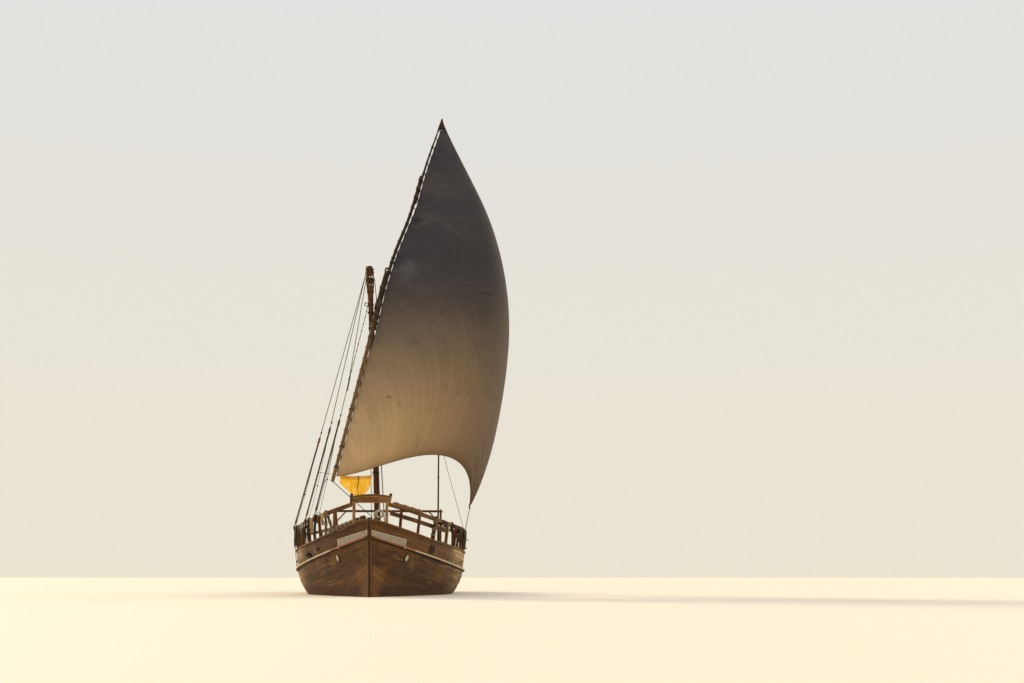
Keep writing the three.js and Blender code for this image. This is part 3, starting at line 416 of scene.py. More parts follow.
def hullMaterial():
    look = woodLooks["hullPlank"]
    paint = hullPaint
    tree, shader, everywhere = newMaterial("hullPlank")
    color, height, worn = woodColor(tree, look, attribute(tree, "grain", "Vector"), everywhere)
    long = stretched(tree, attribute(tree, "grain", "Vector"), (0.45, 5.0, 5.0))
    streak = noise(tree, long, 1.0, 5.0, 0.6)
    color = blended(tree, spread(tree, streak, 0.54, 0.72, 0.0, 0.6), color, tint(paint["streakLight"]))
    color = blended(tree, spread(tree, streak, 0.46, 0.3, 0.0, 0.75), color, tint(paint["streakDark"]))
    axes = node(tree, "ShaderNodeSeparateXYZ", {0: everywhere}).outputs
    rough = noise(tree, everywhere, 1.6, 5.0, 0.65)
    level = plus(tree, axes["Z"], times(tree, rough, 0.3))
    boot = spread(tree, level, paint["bootTop"] + 0.22, paint["bootTop"] + 0.1)
    color = tinged(tree, color, boot, paint["bootShare"], paint["bootColor"])
    # Pale outer sides: bleaching and a painted highlight
    color = bleachedAndHighlit(tree, color, axes, paint["paleFrom"], paint["paleTo"])
    nearStem = spread(tree, axes["X"], paint["footX"], paint["footX"] + 0.7)
    low = spread(tree, level, paint["footTop"] + 0.25, paint["footTop"] - 0.1)
    color = tinged(tree, color, times(tree, nearStem, low), 0.3, paint["footColor"])
    finishWood(tree, shader, look, color, height, worn)


# Rubbing strake: red at the bow and cream aft of it, worn through to the wood
walePaint = {
    "red": "#a8694c", "cream": "#cbbd97", "bare": "#4c351d", "joinX": 9.1, "chips": 0.75,
}


def waleMaterial():
    paint = walePaint
    look = woodLooks["upperworks"]
    tree, shader, everywhere = newMaterial("walePaint")
    grain = placed(tree, grainGroup, {"Vector": attribute(tree, "grain", "Vector"), "Scale": 1.2})
    along = node(tree, "ShaderNodeSeparateXYZ", {0: everywhere}).outputs["X"]
    edge = plus(tree, along, times(tree, noise(tree, everywhere, 8.0), 0.1))
    color = blended(tree, spread(tree, edge, paint["joinX"] + 0.04, paint["joinX"] + 0.06),
                    tint(paint["cream"]), tint(paint["red"]))
    streak = noise(tree, everywhere, 5.0, 6.0, 0.7)
    color = blended(tree, spread(tree, streak, 0.35, 0.75, 0.0, 0.35), color, tint(look["stain"]))
    worn = chipped(tree, everywhere, 7.0, paint["chips"])
    color = blended(tree, worn, color, tint(paint["bare"]))
    finishWood(tree, shader, look, color, grain["Height"], worn)


# Carved work: chalky white over a dark ground that shows between the raised parts
carvingLook = {"raised": "#cdc4b0", "ground": "#857b66", "dirt": "#7a6d56"}


def carvingMaterial():
    look = carvingLook
    tree, shader, everywhere = newMaterial("carvedPaint")
    color = blended(tree, attribute(tree, "wear"), tint(look["ground"]), tint(look["raised"]))
    dirt = stained(tree, everywhere, 6.0, 0.42, 0.75)
    color = tinged(tree, color, dirt, 0.55, look["dirt"])
    coated(tree, shader, color, dirt, 0.6, 0.85)
    bumped(tree, shader, noise(tree, everywhere, 60.0, 4.0), 0.35, 0.003)


# Ropes: light crests and dark grooves of the lay, with fibers and grime
ropeLooks = {
    "tarredRope": {"crest": "#4a3a24", "groove": "#20170d", "grime": "#2b2114"},
    "yardRope": {"crest": "#66543a", "groove": "#2b2012", "grime": "#3a2d1b"},
    "paleRope": {"crest": "#a8946c", "groove": "#4a3c26", "grime": "#6b5a3e"},
    "whiteRope": {"crest": "#cfc8b4", "groove": "#7d7460", "grime": "#9a8f78"},
}


def ropeMaterial(name):
    look = ropeLooks[name]
    tree, shader, everywhere = newMaterial(name)
    color = blended(tree, attribute(tree, "wear"), tint(look["groove"]), tint(look["crest"]))
    fiber = placed(tree, grainGroup, {"Vector": attribute(tree, "grain", "Vector"), "Scale": 9.0})
    color = blended(tree, spread(tree, fiber["Figure"], 0.0, 1.0, 0.0, 0.25), color,
                    tint(look["groove"]))
    grime = stained(tree, everywhere, 1.4, 0.45, 0.7)
    color = tinged(tree, color, grime, 0.5, look["grime"])
    coated(tree, shader, color, fiber["Figure"], 0.85, 0.98)
    bumped(tree, shader, fiber["Height"], 0.5, 0.002)


def ironMaterial():
    tree, shader, everywhere = newMaterial("oldIron")
    rust = stained(tree, everywhere, 9.0, 0.35, 0.65)
    color = blended(tree, rust, tint("#2b2927"), tint("#5a3219"))
    coated(tree, shader, color, rust, 0.45, 0.85)
    tree.links.new(spread(tree, rust, 0.0, 1.0, 0.9, 0.1), shader.inputs["Metallic"])
    bumped(tree, shader, noise(tree, everywhere, 70.0, 5.0), 0.4, 0.002)


# Sail: weathered canvas in narrow cloths, grey towards the peak and warmer below; the darkening towards the
# peak is painted shade, and the pale warm foot forward is a painted backlit glow that grows darker aft
canvasLook = {
    # high, low, the low aft colour, from and to: painted shade high up, and a painted backlit glow low and
    # forward that fades darker aft
    "high": "#373436", "low": "#c9a676", "lowAftShade": "#6b5844", "from": 4.4, "to": 17.2,
    "stain": "#2a2522", "patch": "#5d5650", "threads": 700.0, "panelShade": 0.03, "hem": "#5c4022",
    "marks": (
        # middle, how each axis is squeezed, radius, share, color
        ((1.0, 1.6, 18.3), (0.5, 1.0, 0.8), 0.35, 0.6, "#1c1a1c"),
        ((3.2, 1.2, 15.3), (0.5, 1.0, 0.8), 0.7, 0.35, "#5f5c62"),
        ((7.4, 0.45, 8.7), (0.5, 0.7, 1.6), 0.2, 0.6, "#5c4425"),
        ((-0.6, 4.85, 6.0), (0.5, 1.0, 0.7), 0.3, 0.6, "#33291f"),
        ((3.7, 4.0, 14.65), (0.3, 0.9, 7.0), 0.42, 0.7, "#2b2320"),
        ((3.2, 5.0, 14.3), (0.3, 0.8, 6.0), 0.5, 0.7, "#2b2320"),
    ),
}


def canvasMaterial(name, seamed):
    look = canvasLook
    tree, shader, everywhere = newMaterial(name)
    axes = node(tree, "ShaderNodeSeparateXYZ", {0: everywhere}).outputs
    # Painted light: darker towards the peak, and a pale warm glow low down that fades to a darker colour aft
    cloud = noise(tree, everywhere, 0.35, 4.0)
    level = plus(tree, axes["Z"], times(tree, cloud, 2.0))
    lee = spread(tree, axes["X"], 9.5, 0.0)
    low = blended(tree, lee, tint(look["low"]), tint(look["lowAftShade"]))
    color = blended(tree, spread(tree, level, look["from"], look["to"]), low, tint(look["high"]))
    weave = woven(tree, look["threads"])
    color = tinged(tree, color, weave["Slub"], 0.12, look["stain"])
    stains = stained(tree, everywhere, 0.9, 0.55, 0.8)
    color = tinged(tree, color, stains, 0.3, look["stain"])
    spots = stained(tree, everywhere, 3.5, 0.66, 0.74)
    color = tinged(tree, color, spots, 0.4, look["stain"])
    for middle, squeeze, radius, share, shade in look["marks"]:
        away = node(tree, "ShaderNodeVectorMath", {0: everywhere, 1: middle}, operation="SUBTRACT")
        sized = stretched(tree, away.outputs[0], squeeze)
        far = node(tree, "ShaderNodeVectorMath", {0: sized}, operation="LENGTH").outputs["Value"]
        ragged = plus(tree, far, times(tree, noise(tree, everywhere, 4.0), radius))
        mark = spread(tree, ragged, radius * 1.5, radius * 0.7, 0.0, share)
        color = blended(tree, mark, color, tint(shade))
    if seamed:
        color = tinged(tree, color, attribute(tree, "hem"), 0.5, look["hem"])
        panel = math2(tree, "FLOOR", attribute(tree, "panel"))
        shade = node(tree, "ShaderNodeTexWhiteNoise", {"W": panel}, noise_dimensions="1D").outputs[0]
        value = spread(tree, shade, 0.0, 1.0, 1.0 - look["panelShade"], 1.0 + look["panelShade"])
        color = node(tree, "ShaderNodeHueSaturation", {"Value": value, "Color": color}).outputs[0]
        near = times(tree, attribute(tree, "luff"), stained(tree, everywhere, 0.55, 0.35, 0.7))
        color = tinged(tree, color, near, 0.4, look["patch"])
    else:
        color = blended(tree, 0.24, color, tint(look["stain"]))
    coated(tree, shader, color, stains, 0.82, 0.95)
    shader.inputs["Specular IOR Level"].default_value = 0.12
    shader.inputs["Sheen Weight"].default_value = 0.05
    creases = noise(tree, everywhere, 2.2, 6.0, 0.6, 0.8)
    height = plus(tree, times(tree, weave["Height"], 0.04), creases)
    bumped(tree, shader, height, 0.22, 0.012)


# Worn clothes and rags on the rails
clothLooks = {
    "drabCloth": {"dark": "#171108", "light": "#3d301b", "dirt": "#4d3c22"},
    "wineCloth": {"dark": "#2a0d08", "light": "#5b2014", "dirt": "#3f2618"},
    "paleCloth": {"dark": "#6e5636", "light": "#ab9066", "dirt": "#5e4628"},
}


def clothMaterial(name):
    look = clothLooks[name]
    tree, shader, everywhere = newMaterial(name)
    weave = woven(tree, 450.0)
    fade = stained(tree, everywhere, 3.0, 0.35, 0.65)
    color = blended(tree, fade, tint(look["dark"]), tint(look["light"]))
    color = tinged(tree, color, weave["Slub"], 0.2, look["dirt"])
    coated(tree, shader, color, fade, 0.8, 0.95)
    shader.inputs["Specular IOR Level"].default_value = 0.1
    bumped(tree, shader, weave["Height"], 0.3, 0.002)


def awningMaterial():
    tree, shader, everywhere = newMaterial("awningCloth")
    weave = woven(tree, 500.0)
    fade = stained(tree, everywhere, 2.2, 0.3, 0.7)
    color = blended(tree, fade, tint("#f5d944"), tint("#ffee96"))
    color = tinged(tree, color, weave["Slub"], 0.15, "#e0a838")
    coated(tree, shader, color, fade, 0.75, 0.92)
    shader.inputs["Sheen Weight"].default_value = 0.2
    bumped(tree, shader, weave["Height"], 0.25, 0.002)
    glow = node(tree, "ShaderNodeBsdfTranslucent", {"Color": color})
    both = node(tree, "ShaderNodeMixShader", {0: 0.55, 1: shader.outputs[0], 2: glow.outputs[0]})
    tree.links.new(both.outputs[0], tree.nodes["Material Output"].inputs["Surface"])


for name in woodLooks:
    if name not in ("hullPlank", "topside"):
        woodMaterial(name)
hullMaterial()
topsideMaterial()
for name in ("backbone", "topside"):
    woodMaterial(name, followsGrain=False)
for name in clothLooks:
    clothMaterial(name)
for name in ropeLooks:
    ropeMaterial(name)
waleMaterial()
carvingMaterial()
ironMaterial()
canvasMaterial("sailCloth", True)
canvasMaterial("sailSeam", False)
awningMaterial()
print("materials made")


# Hull form, in the same dimensions as the part
hull = {
    "stemX": 11.25, "stemRake": 0.36, "transomX": -11.3, "transomRake": -0.26,
    "half": 4.0, "backbone": 0.22, "rabbet": -1.5, "lowStation": -1.5, "lowWale": 1.15,
    "bowRise": 1.28, "sternRise": 0.75, "entry": 2.2, "run": 2.6, "transomHalf": 2.7,
    "fullest": -1.2, "flare": 0.1, "stemStation": 11.22,
}


def clamp01(t):
    return min(1.0, max(0.0, t))


def smooth(t):
    t = clamp01(t)
    return t * t * (3 - 2 * t)


def lerp(a, b, t):
    return a + (b - a) * t


def steps(start, end, size):
    count = max(1, round(abs(end - start) / size))
    return [lerp(start, end, i / count) for i in range(count + 1)]


def leanAt(station):
    fore = smooth((station - 3.5) / (hull["stemX"] - 3.5))
    aft = smooth((-4.5 - station) / (-4.5 - hull["transomX"]))
    return hull["stemRake"] * fore + hull["transomRake"] * aft


def waleAt(station):
    low = hull["lowStation"]
    if station > low:
        return hull["lowWale"] + hull["bowRise"] * ((station - low) / (hull["stemX"] - low)) ** 2
    return hull["lowWale"] + hull["sternRise"] * ((low - station) / (low - hull["transomX"])) ** 2


def rabbetAt(station):
    fore = clamp01((station - 9.0) / (hull["stemX"] - 9.0))
    aft = clamp01((-7.8 - station) / (-7.8 - hull["transomX"]))
    return hull["rabbet"] + 0.9 * fore ** 2 + 0.76 * aft ** 2


def waleHalf(station):
    if station > hull["fullest"]:
        t = (hull["stemX"] - station) / (hull["stemX"] - hull["fullest"])
        return lerp(hull["backbone"] / 2, hull["half"], 1 - (1 - t) ** hull["entry"])
    t = (hull["fullest"] - station) / (hull["fullest"] - hull["transomX"])
    return lerp(hull["half"], hull["transomHalf"], t ** hull["run"])


def halfAt(station, z):
    wale, half = waleAt(station), waleHalf(station)
    if z >= wale:
        return half + hull["flare"] * clamp01((hull["stemX"] - station) / 2.5) * (z - wale)
    t = clamp01((z - rabbetAt(station)) / (wale - rabbetAt(station)))
    bow = smooth((station - 1.5) / (hull["stemX"] - 1.5))
    stern = smooth((-3.5 - station) / (-3.5 - hull["transomX"]))
    full = (1 - (1 - t) ** 1.7) ** 0.5
    shape = lerp(lerp(full, t ** 0.62, bow), math.sin(math.pi / 2 * t) ** 1.7, stern)
    return lerp(hull["backbone"] / 2, half, shape)


def place(station, y, z):
    return Vector((station + leanAt(station) * z, y, z))


def sidePoint(side, station, z, out=0.0):
    return place(station, side * (halfAt(station, z) + out), z)


girthTables = {}


def girthTable(station):
    # Distances up the frame from the rabbet to the rubbing strake, with the points there
    key = round(station, 4)
    if key not in girthTables:
        low, high = rabbetAt(station), waleAt(station)
        heights = [lerp(low, high, (i / 48) ** 2) for i in range(49)]
        line = np.array([(halfAt(station, z), z) for z in heights])
        run = np.concatenate([[0], np.cumsum(np.linalg.norm(np.diff(line, axis=0), axis=1))])
        girthTables[key] = (run, line)
    return girthTables[key]


def onGirth(side, station, distance, out):
    run, line = girthTable(station)

    def at(d):
        return np.array([np.interp(d, run, line[:, 0]), np.interp(d, run, line[:, 1])])

    y, z = at(distance)
    up = at(min(run[-1], distance + 0.03)) - at(max(0.0, distance - 0.03))
    up /= np.linalg.norm(up)
    return place(station, side * (y + up[1] * out), z - up[0] * out)


# Mesh code

# Ropes, against their radius: length of lay, depth of groove, pitch when wound; points where thick
ropeForm = {"lay": 8.2, "groove": 0.84, "pitch": 2.05, "thick": 0.022, "perTurn": 14}


class Solids:
    # Gathers closed solids in one mesh. Each keeps its own grain direction and tone.
    def __init__(self, seed=1):
        self.points, self.faces, self.grain, self.tone, self.wear = [], [], [], [], []
        self.chance = random.Random(seed)

    def loft(self, rings, wear=None, tone=None, closed=False, ease=0.0, across=False):
        # A closed solid through rings of equal length; ease rounds its two ends, and the grain
        # runs from ring to ring, or round them where across is true
        count = len(rings[0])
        wears = [wear or [0.0] * count for _ in rings]
        if ease and not closed:
            rings, wears = self.easeEnds(rings, wears, ease)
        base = len(self.points)
        offset = self.chance.uniform(0, 40)
        shade = self.chance.random() if tone is None else tone
        run = 0.0
        for r, ring in enumerate(rings):
            run += (ring[0] - rings[r - 1][0]).length if r else 0.0
            girth = 0.0
            for k, point in enumerate(ring):
                girth += (point - ring[k - 1]).length if k else 0.0
                self.points.append(tuple(point))
                self.grain.append((girth + offset, run, offset) if across else (run + offset, girth, offset))
                self.tone.append(shade)
                self.wear.append(wears[r][k])
        ahead = middleOf(rings[1]) - middleOf(rings[0])
        flip = geometry.normal(rings[0]).dot(ahead) < 0
        made = []
        for r in range(len(rings) if closed else len(rings) - 1):
            a, b = base + r * count, base + (r + 1) % len(rings) * count
            for k in range(count):
                n = (k + 1) % count
                made.append((a + k, a + n, b + n, b + k))
        if not closed:
            made.append(tuple(range(base + count - 1, base - 1, -1)))
            last = base + (len(rings) - 1) * count
            made.append(tuple(range(last, last + count)))
        self.faces += [face[::-1] for face in made] if flip else made

    def easeEnds(self, rings, wears, ease):
        out, outWear = [], []
        for ring, beside, flags in ((rings[0], rings[1], wears[0]), (rings[-1], rings[-2], wears[-1])):
            middle = middleOf(ring)
            inward = (middleOf(beside) - middle).normalized() * ease
            small = [p + (middle - p).normalized() * min(ease, (middle - p).length * 0.4) for p in ring]
            out.append((small, [p + inward for p in ring]))
            outWear.append(([1.0] * len(ring), [max(0.6, f) for f in flags]))
        (startSmall, startFull), (endSmall, endFull) = out
        rings = [startSmall, startFull, *rings[1:-1], endFull, endSmall]
        wears = [outWear[0][0], outWear[0][1], *wears[1:-1], outWear[1][1], outWear[1][0]]
        return rings, wears

    def box(self, low, high, ease=0.008, tone=None):
        # An eased box whose grain runs along its longest side
        low, high = Vector(low), Vector(high)
        size, middle = high - low, (low + high) / 2
        axis = max(range(3), key=lambda k: size[k])
        others = [k for k in range(3) if k != axis]
        up = Vector([1.0 if k == others[1] else 0.0 for k in range(3)])
        ends = [middle.copy(), middle.copy()]
        ends[0][axis], ends[1][axis] = low[axis], high[axis]
        self.beam(ends, size[others[0]], size[others[1]], up, ease, tone)

    def beam(self, path, width, height, up=(0, 0, 1), ease=0.008, tone=None):
        # A squared timber along a path; width and height may be lists
        path = [Vector(p) for p in path]
        rings = []
        for i, point in enumerate(path):
            along = (path[min(i + 1, len(path) - 1)] - path[max(i - 1, 0)]).normalized()
            side = Vector(up).cross(along).normalized()
            top = along.cross(side)
            w = (width[i] if isinstance(width, list) else width) / 2
            h = (height[i] if isinstance(height, list) else height) / 2
            flat, wear = eased([(-w, -h), (w, -h), (w, h), (-w, h)], ease, ease * 4)
            rings.append([point + side * a + top * b for a, b in flat])
        self.loft(rings, wear, tone, ease=ease)

    def tube(self, path, radii, sides=16, tone=None, ease=0.0, wear=0.0, closed=False):
        path = [Vector(p) for p in path]
        rings = []
        for i, (point, side, top) in enumerate(carried(path)):
            r = radii[i] if isinstance(radii, list) else radii
            angles = [2 * math.pi * k / sides for k in range(sides)]
            rings.append([point + side * r * math.cos(a) + top * r * math.sin(a) for a in angles])
        self.loft(rings, [wear] * sides, tone, closed, ease)

    def rope(self, path, radius, tone=None, closed=False):
        # Three strands laid up: crests and grooves wind round the path
        lay = ropeForm["lay"] * radius
        points = 3 if radius > ropeForm["thick"] else 2  # per strand
        sides = 3 * points
        path = resampled([Vector(p) for p in path], lay / 6)
        rings = []
        run = 0.0
        for i, (point, side, top) in enumerate(carried(path)):
            run += (path[i] - path[i - 1]).length if i else 0.0
            turn = 2 * math.pi * run / lay
            ring = []
            for k in range(sides):
                r = radius * (1.0 if k % points == 0 else ropeForm["groove"])
                angle = turn + 2 * math.pi * k / sides
                ring.append(point + side * r * math.cos(angle) + top * r * math.sin(angle))
            rings.append(ring)
        wear = [1.0 if k % points == 0 else 0.25 for k in range(sides)]
        self.loft(rings, wear, tone, closed)

    def turns(self, middle, axis, reach, count, radius, tone=None):
        # Rope wound round an axis; reach is the distance of its centerline from the axis
        axis = Vector(axis).normalized()
        side = axis.orthogonal().normalized()
        other = axis.cross(side)
        path, each = [], ropeForm["perTurn"]
        for i in range(count * each + 1):
            angle = 2 * math.pi * i / each
            rise = (i / each - count / 2) * radius * ropeForm["pitch"]
            path.append(Vector(middle) + axis * rise
                        + (side * math.cos(angle) + other * math.sin(angle)) * reach)
        self.rope(path, radius, tone)

    def piece(self, name, material, body, slotName, replaced=(), sharp=38):
        mesh = bpy.data.meshes.new(name)
        mesh.from_pydata(self.points, [], self.faces)
        mesh.materials.append(materials[material])
        grain = mesh.attributes.new("grain", "FLOAT_VECTOR", "POINT")
        grain.data.foreach_set("vector", np.array(self.grain, np.float32).ravel())
        for label, values in (("tone", self.tone), ("wear", self.wear)):
            layer = mesh.attributes.new(label, "FLOAT", "POINT")
            layer.data.foreach_set("value", np.array(values, np.float32))
        smoothed(mesh, sharp)
        made = linked(name, mesh)
        return settled(made, body, replaced)


def middleOf(ring):
    return sum(ring, Vector()) / len(ring)


def eased(corners, chamfer, edge):
    # The outline with cut corners, and how worn each of its points is
    points, wear = [], []
    for k, corner in enumerate(corners):
        here = Vector(corner)
        toBefore = Vector(corners[k - 1]) - here
        toAfter = Vector(corners[(k + 1) % len(corners)]) - here
        for way, reach, share, flag in (
            (toBefore, edge, 0.45, 0.0), (toBefore, chamfer, 0.3, 1.0),
            (toAfter, chamfer, 0.3, 1.0), (toAfter, edge, 0.45, 0.0),
        ):
            points.append(here + way.normalized() * min(reach, way.length * share))
            wear.append(flag)
    return points, wear


def carried(path):
    # A frame carried along the path without twist
    out = []
    side = None
    for i, point in enumerate(path):
        along = (path[min(i + 1, len(path) - 1)] - path[max(i - 1, 0)]).normalized()
        side = along.orthogonal() if side is None else side - along * side.dot(along)
        side = side.normalized()
        out.append((point, side, along.cross(side)))
    return out


def resampled(path, size):
    # Evenly spaced points on the same line
    line = np.array([tuple(p) for p in path])
    run = np.concatenate([[0], np.cumsum(np.linalg.norm(np.diff(line, axis=0), axis=1))])
    count = max(2, int(run[-1] / size) + 1)
    wanted = np.linspace(0, run[-1], count)
    return [Vector([np.interp(w, run, line[:, k]) for k in range(3)]) for w in wanted]


def curved(points, count=24):
    # A smooth line through points, by the centripetal rule that the part's yard uses
    p = [np.array(q, float) for q in points]
    p = [2 * p[0] - p[1], *p, 2 * p[-1] - p[-2]]
    out = []
    for a, b, c, d in zip(p, p[1:], p[2:], p[3:]):
        before, here, after = (max(np.linalg.norm(v - u) ** 0.5, 1e-4) for u, v in ((a, b), (b, c), (c, d)))
        start = ((b - a) / before - (c - a) / (before + here) + (c - b) / here) * here
        end = ((c - b) / here - (d - b) / (here + after) + (d - c) / after) * here
        for k in range(count):
            s = k / count
            square = -3 * b + 3 * c - 2 * start - end
            cube = 2 * b - 2 * c + start + end
            out.append(Vector(b + start * s + square * s * s + cube * s ** 3))
    return [*out, Vector(points[-1])]


def ringOf(middle, across, up, count):
    # Points round a middle, from across towards up
    angles = [2 * math.pi * k / count for k in range(count)]
    return [middle + across * math.cos(a) + up * math.sin(a) for a in angles]


def smoothed(mesh, sharp):
    mesh.polygons.foreach_set("use_smooth", [True] * len(mesh.polygons))
    mesh.set_sharp_from_angle(angle=math.radians(sharp))
    mesh.update()


def settled(piece, body, replaced=()):
    # A piece with no body is left unattached
    if body:
        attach(piece, body)
    if replaced:
        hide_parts(*replaced)
    return piece


sides = {"port": 1, "starboard": -1}


def hullStrip(solids, side, start, end, corners, ease=0.006, step=0.35, tone=None):
    # A strip that follows the side: corners(station) gives (distance out, height) pairs
    rings = []
    for station in steps(start, end, step):
        flat, wear = eased(corners(station), ease, ease * 4)
        rings.append([sidePoint(side, station, z, out) for out, z in flat])
    solids.loft(rings, wear, tone, ease=ease)


# Hull planking: strakes of equal girth with open seams and staggered butts, over a dark skin
plankLook = {
    "perSide": 16, "seam": 0.009, "thick": 0.04, "ease": 0.005, "edge": 0.03,
    "skinIn": 0.016, "length": 6.2, "step": 0.36, "bowPower": 1.5,
}


def butts(chance, start, end, length):
    # Places along the hull where a line of planks is joined
    out = [start]
    at = start + length * chance.uniform(0.25, 1.0)
    while at < end - 1.2:
        out.append(at)
        at += length * chance.uniform(0.8, 1.1)
    return [*out, end]


def bowShare(station, share):
    # The strakes near the rubbing strake are wider at the bow, so the seams run up less steeply
    return share ** lerp(1.0, plankLook["bowPower"], smooth((station - 2.0) / 8.5))


def hullPlankRing(side, station, share0, share1):
    look = plankLook
    run, _ = girthTable(station)
    low = run[-1] * bowShare(station, share0) + look["seam"] / 2
    high = run[-1] * bowShare(station, share1) - look["seam"] / 2
    width = high - low
    ease, edge = min(look["ease"], width * 0.2), min(look["edge"], width * 0.35)
    outer = [(low, -ease), (low + ease, 0), (low + edge, 0), ((low + high) / 2, 0),
             (high - edge, 0), (high - ease, 0), (high, -ease)]
    inner = [(high, -look["thick"]), ((low + high) / 2, -look["thick"]), (low, -look["thick"])]
    return [onGirth(side, station, d, out) for d, out in outer + inner]


def buildHullPlanks():
    look = plankLook
    planks = Solids(3)
    wear = [1, 1, 0, 0, 0, 1, 1, 0, 0, 0]
    chance = random.Random(5)
    for side in sides.values():
        for k in range(look["perSide"]):
            ends = butts(chance, hull["transomX"], hull["stemStation"], look["length"])
            for start, end in zip(ends, ends[1:]):
                rings = [
                    hullPlankRing(side, s, k / look["perSide"], (k + 1) / look["perSide"])
                    for s in steps(start + look["seam"] / 3, end - look["seam"] / 3, look["step"])
                ]
                planks.loft(rings, wear)
    planks.piece("hull_strakes", "hullPlank", "hull", "planking", ["hull_planking"])
    skin = Solids(4)
    rings = []
    for s in steps(hull["transomX"] + 0.01, hull["stemStation"] - 0.02, 0.4):
        run, _ = girthTable(s)
        marks = [run[-1] * (i / 20) for i in range(21)]
        port = [onGirth(1, s, d, -look["skinIn"]) for d in marks]
        rings.append(port + [Vector((p.x, -p.y, p.z)) for p in reversed(port)])
    skin.loft(rings)
    skin.piece("hull_skin", "darkJointAndShade", "hull", "planking")


# Decks: boards laid fore and aft, cut to the line of the bulwarks
deckLook = {
    "camber": 0.07, "thick": 0.05, "inset": 0.105, "board": 0.155, "seam": 0.006, "length": 4.8,
    "poopHigh": 0.82, "poopInset": 0.088, "poopTo": -6.2, "way": 0.36, "foreTo": 10.54,
}


def deckTop(station, y):
    return waleAt(station) + deckLook["camber"] * (1 - (y / waleHalf(station)) ** 2) + deckLook["thick"]


def poopTop(station, y):
    half = halfAt(station, waleAt(station) + deckLook["poopHigh"]) - deckLook["poopInset"]
    return waleAt(station) + deckLook["poopHigh"] + deckLook["camber"] * (1 - abs(y) / half)


def deckBoards(solids, start, end, reach, top, seed):
    look = deckLook
    chance = random.Random(seed)
    widest = max(reach(s) for s in steps(start, end, 0.5))
    count = math.ceil(widest / look["board"])
    for k in range(-count, count):
        y0, y1 = k * look["board"] + look["seam"] / 2, (k + 1) * look["board"] - look["seam"] / 2
        ends = butts(chance, start, end, look["length"])
        for a, b in zip(ends, ends[1:]):
            rings = []
            for s in steps(a + look["seam"] / 2, b - look["seam"] / 2, 0.5):
                near, far = sorted((abs(y0), abs(y1)))
                far = min(far, reach(s))
                if far - near < 0.02:
                    continue
                w0, w1 = (near, far) if k >= 0 else (-far, -near)
                h0, h1 = top(s, w0), top(s, w1)
                flat = [(w0, h0 - 0.03), (w0, h0 - 0.004), (w0 + 0.004, h0), (w1 - 0.004, h1),
                        (w1, h1 - 0.004), (w1, h1 - 0.03)]
                rings.append([place(s, y, z) for y, z in flat])
            if len(rings) > 1:
                solids.loft(rings, [0, 1, 1, 1, 1, 0])


def deckBase(solids, start, end, reach, top):
    rings = []
    for s in steps(start, end, 0.5):
        line = [share * reach(s) for share in (-1, -0.75, -0.5, -0.25, 0, 0.25, 0.5, 0.75, 1)]
        upper = [place(s, y, top(s, y) - 0.007) for y in line]
        lower = [place(s, y, top(s, y) - 0.05) for y in reversed(line)]
        rings.append(upper + lower)
    solids.loft(rings)


def buildDecks():
    look = deckLook

    def mainReach(s):
        return waleHalf(s) - look["inset"]

    def poopReach(s):
        return halfAt(s, waleAt(s) + look["poopHigh"]) - look["poopInset"] - 0.004

    aft, fore = hull["transomX"] + 0.03, look["foreTo"]
    boards = Solids(6)
    deckBoards(boards, aft, fore, mainReach, deckTop, 8)
    boards.piece("main_deck_boards", "deckPlank", "hull", "deck", ["deck_planking"])
    poop = Solids(7)
    deckBoards(poop, aft, look["poopTo"], poopReach, poopTop, 9)
    poop.piece("poop_deck_boards", "deckPlank", "hull", "deck", ["poop_deck"])
    ways = Solids(9)
    for side in sides.values():
        def corners(s):
            low, high = waleAt(s) + 0.03, waleAt(s) + look["thick"] + 0.03
            inner = min(look["way"], halfAt(s, high) - 0.02)
            return [(-inner, low), (-0.07, low), (-0.07, high), (-inner, high)]

        hullStrip(ways, side, look["poopTo"] + 0.1, 10.5, corners, 0.008)
    ways.piece("deck_waterways", "deckPlank", "hull", "deck")
    base = Solids(8)
    deckBase(base, aft, fore, mainReach, deckTop)
    deckBase(base, aft, look["poopTo"], poopReach, poopTop)
    base.piece("deck_seams", "darkJointAndShade", "hull", "deck")


# Bulwarks, rubbing strakes, cap rails and open rails
upperLook = {
    "bulwarkThick": 0.09, "boards": 4, "boardSeam": 0.007,
    "capThick": 0.07, "capOut": 0.05, "capIn": 0.165, "capTo": 11.1,
    "waleLow": -0.12, "waleHigh": 0.035, "waleSplit": -0.068, "waleOut": 0.1, "waleTo": 11.33,
    "railDeep": 0.14, "railWide": 0.15, "railFrom": -11.15, "railTo": 10.2, "railJoins": (-4.2, 2.6),
    "lowerFrom": 5.2, "lowerTo": 10.15, "lowerDrop": 0.32, "lowerDeep": 0.17, "lowerWide": 0.05,
    "postHalf": 0.07,
}
postStations = {
    "port": [-11.0, -9.6, -8.1, -6.6, -5.0, -3.4, -2.0, -0.7, 0.1, 0.9, 2.2, 3.7, 5.2, 6.7, 8.2, 9.5],
    "starboard": [-11.0, -9.6, -8.1, -6.6, -5.0, -3.4, -2.0, -0.7, 0.5, 1.7, 3.0, 4.3, 5.7, 7.3, 9.0],
}


def bulwarkTopAt(station):
    # Heights above the rubbing strake
    return 0.78 - 0.12 * smooth((station - 2) / 5) + 0.12 * smooth((-1 - station) / 5)


def capHighAt(station):
    return bulwarkTopAt(station) + upperLook["capThick"]


def railTopAt(station):
    return 1.85 - 0.27 * clamp01((station - 2.5) / 8)


